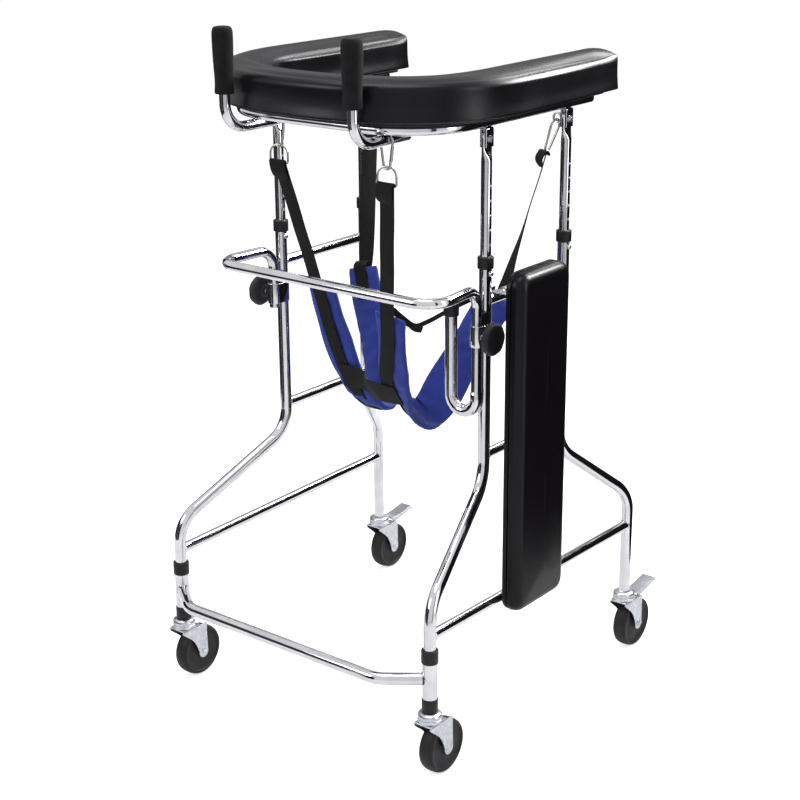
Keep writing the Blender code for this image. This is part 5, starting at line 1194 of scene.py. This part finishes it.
def cross_band():
    """The wide black band from the left strap's lower front to the right strap's foot."""
    ends = []
    for name in SIDES:
        path, _, across, _ = sling_frames(name)
        at = np.argmin(np.abs(path[:len(path) // 2, 2] - CROSS_BAND_Z))
        ends.append((path[at] + across[at] * (SLING_THICKNESS / 2 + 3.6), across[at]))
    (left, left_out), (right, right_out) = ends
    past, lap = np.array([CROSS_BAND_PAST, 0, 0]), np.array([12, 0, 0])
    path = smooth_path([left - lap, left + past, (left + right) / 2 - (0, 0, 6), right - past, right + lap], 8)
    share = np.linspace(0, 1, len(path))[:, None]
    normal = unit(left_out * (1 - share) + right_out * share)
    return strap_band(path, np.cross(normal, path_directions(path)), 52, 2, 5)


def thin_tie():
    """A thin strap across the right loop's mouth: sagging in a V, with its buckle's short tail."""
    route = smooth_path([(94, -149, 778), (99, -130, 760), (106, -104, 739.5), (113, -78, 741), (128, -10, 757),
                         (152, 80, 776)], 10)
    tail = smooth_path([(105, -108, 740.5), (108, -98, 733), (113, -88, 730)], 6)
    return [strap_band(path, (0.35, 0.1, 0.9), 12, 1.6, seed) for path, seed in ((route, 1), (tail, 2))]


def make_strap_stitches():
    """A row of stitches across each folded front end."""
    skins = []
    across = np.arange(-11, 11.1, 3.4)[:, None] * (1, 0, 0)
    for name in SIDES:
        route, _ = strap_route(name)
        down = unit(route[1] - route[0])
        outward = forward(unit(np.cross(down, (1, 0, 0))))
        skins.append(stitch_row(route[0] + outward * 5.2 + down * 29 + across,
                                np.tile([1.0, 0, 0], (len(across), 1)), np.tile(outward, (len(across), 1))))
    make_piece("strap_stitches", skins, THREAD, "top", crease=180)


def wire_loop(upper, lower, normal, upper_radius=12.8, lower_radius=7):
    """A pear-shaped closed wire: a wide arc above, a narrow arc below and straight sides between."""
    upper, lower = np.array(upper, float), np.array(lower, float)
    down = unit(lower - upper)
    across = unit(np.cross(normal, down))
    cosine, sine = arc(1, 0, 180, 18).T[..., None]
    top = upper + down * upper_radius * (1 - sine) + across * upper_radius * cosine
    low = lower - down * lower_radius * (1 - sine) - across * lower_radius * cosine
    return bar(np.concatenate([top, low]), LINK_WIRE, normal, 14, closed=True)


def make_rings():
    """Snap links with their sprung gates, and the D-rings that carry the front strap ends."""
    top_z = GRIP_TUBE_Z + SMALL_RADIUS + GAP + LINK_WIRE
    corners = softened([(-RING_HALF, -RING_EDGE), (-RING_HALF, -RING_LOW), (RING_HALF, -RING_LOW),
                        (RING_HALF, -RING_EDGE)], 3.5, 5)
    d_shape = np.concatenate([arc(RING_HALF, 0, 180, 20, (0, -RING_EDGE)), corners[1:-1]])
    for name, sign in SIDES.items():
        x, y = sign * GRIP_X, FRONT_LINK_Y[name]
        gate = bar([(x + 12, y, top_z - 22), (x + 8.8, y, FRONT_LINK_LOW + 14)], 2.7, (0, 1, 0), 14)
        skins = [wire_loop((x, y, top_z), (x, y, FRONT_LINK_LOW), (0, 1, 0)), gate]
        make_piece(f"front_link_{name}", skins, NICKEL, "top", f"carabiner_front_{name}")
        across, up = d_shape.T
        loop = np.stack([x + across, y + 0.25 * across, FRONT_LINK_LOW + 0.1 + up], -1)
        make_piece(f"strap_ring_{name}", [bar(loop, RING_WIRE, (0, 1, 0), 14, closed=True)], NICKEL, "top")
        ends = np.array([REAR_LINK_TOP, REAR_LINK_LOW]) * (sign, 1, 1)
        make_piece(f"rear_link_{name}", [wire_loop(*ends, (1, 0, 0))], NICKEL, "top", f"carabiner_rear_{name}")


def seen_white(tree, to_eye, in_mirrors):
    """A strength for rays from the camera and glass, a lower one for mirrors, none for the rest."""
    rays = add_node(tree, "LightPath").outputs
    seen = add_node(tree, "Math", {0: rays["Is Camera Ray"], 1: rays["Is Transmission Ray"]}, operation="MAXIMUM")
    both = [add_node(tree, "Math", {0: ray, 1: strength}, operation="MULTIPLY").outputs[0]
            for ray, strength in ((seen.outputs[0], to_eye), (rays["Is Glossy Ray"], in_mirrors))]
    return add_node(tree, "Math", dict(enumerate(both)), operation="MAXIMUM").outputs[0]


def stage_sheet(name, corners, finish):
    """One flat sheet of the studio, which isn't part of the object."""
    mesh = bpy.data.meshes.new(name)
    mesh.from_pydata([tuple(corner) for corner in corners], [], [(0, 1, 2, 3)])
    mesh.materials.append(finish)
    sheet = link_object(name, mesh)
    return sheet


def make_floor():
    """A pale floor: white to the eye, and still darker where the frame shades it."""
    made, tree, shader = new_material("pale_floor", Base_Color=linear("#e6e6e6"), Roughness=0.9,
                                      Emission_Color=(1, 1, 1, 1))
    tree.links.new(seen_white(tree, FLOOR_GLOW, FLOOR_MIRRORED), shader.inputs["Emission Strength"])
    stage_sheet("studio_floor", placed(rectangle(-9, 9, -9, 9), 2, 0), made)


def make_dark_cards():
    """Dark cards round the frame that only shiny surfaces see; they draw the streaks on the chrome.

    Each has its bearing from the camera's side, its distance, width, lower and upper edge and grey.
    """
    for number, (bearing, distance, width, low, high, grey) in enumerate(DARK_CARDS):
        made = new_material(f"dark_card_{number}", Base_Color=(0, 0, 0, 1), Specular_IOR_Level=0,
                            Emission_Color=(1, 1, 1, 1), Emission_Strength=grey)[0]
        turn = math.radians(CAMERA_YAW + bearing)
        foot = np.array([math.sin(turn), -math.cos(turn), 0]) * distance
        side = np.array([math.cos(turn), math.sin(turn), 0])
        corners = [foot + side * across + (0, 0, up) for across, up in rectangle(-width / 2, width / 2, low, high)]
        card = stage_sheet(f"dark_card_{number}", corners, made)
        card.visible_camera = False
        card.visible_diffuse = False
        card.visible_shadow = False


def make_world():
    """Soft studio surround: white to the camera and to mirrors, a plain level of light for the rest."""
    world = bpy.data.worlds.new("studio")
    bpy.context.scene.world = world
    world.use_nodes = True
    back = world.node_tree.nodes["Background"]
    strength = add_node(world.node_tree, "Math", {0: seen_white(world.node_tree, 1.0, 0.9), 1: AMBIENT},
                        operation="MAXIMUM").outputs[0]
    back.inputs["Color"].default_value = (1, 1, 1, 1)
    world.node_tree.links.new(strength, back.inputs["Strength"])


def aimed(right, up, back, place):
    """A placing whose axes are right, up and back, from a place given about the frame's middle."""
    turn = np.eye(4)
    turn[:3] = np.stack([right, up, back, np.array(place) + MIDDLE], -1)
    return Matrix(turn.tolist())


def make_lights():
    """Softboxes turned to their aims: behind, above, left of the camera, on its right, and two for edges."""
    for name, place, aim, size, power in SOFTBOXES:
        light = bpy.data.lights.new(name, "AREA")
        light.shape = "RECTANGLE"
        light.size, light.size_y = size
        light.energy = power
        away = unit(np.subtract(place, aim))
        side = unit(np.cross((0, 0, 1), away))
        box = link_object(name, light)
        box.matrix_world = aimed(side, np.cross(away, side), away, place)
        box.visible_diffuse = name not in ("edge_light", "seat_light")


def make_camera():
    """The photograph's viewpoint, with the lens worked out from the frame's known sizes."""
    camera = bpy.data.cameras.new("camera")
    camera.sensor_fit = "HORIZONTAL"
    camera.sensor_width = 36
    camera.lens = CAMERA_LENS
    yaw, dip, roll = (math.radians(angle) for angle in (CAMERA_YAW, CAMERA_DIP, CAMERA_ROLL))
    level = np.array([math.cos(yaw), math.sin(yaw), 0])
    ahead = np.array([-math.sin(yaw) * math.cos(dip), math.cos(yaw) * math.cos(dip), -math.sin(dip)])
    above = np.cross(level, ahead)
    right = level * math.cos(roll) + above * math.sin(roll)
    up = above * math.cos(roll) - level * math.sin(roll)
    holder = link_object("camera", camera)
    holder.matrix_world = aimed(right, up, -ahead, CAMERA_PLACE)
    bpy.context.scene.camera = holder


make_side_frames()
make_crossbar()
make_sleeve_rings()
make_posts()
make_arm_frame()
make_bracket_bolts()
make_arm_pad()
make_grips()
make_handrail()
make_clamps()
for caster, stem_x, stem_y in CASTERS:
    make_caster_head(caster, stem_x, stem_y)
    make_fork(caster, stem_x, stem_y)
    make_wheel(caster, stem_x, stem_y)
    if caster.startswith("rear"):
        make_pedal(caster, stem_x, stem_y)
make_seat()
make_sling_pads()
make_straps()
make_floor()
make_dark_cards()
make_world()
make_lights()
make_camera()
bpy.context.scene.view_settings.view_transform = "Standard"
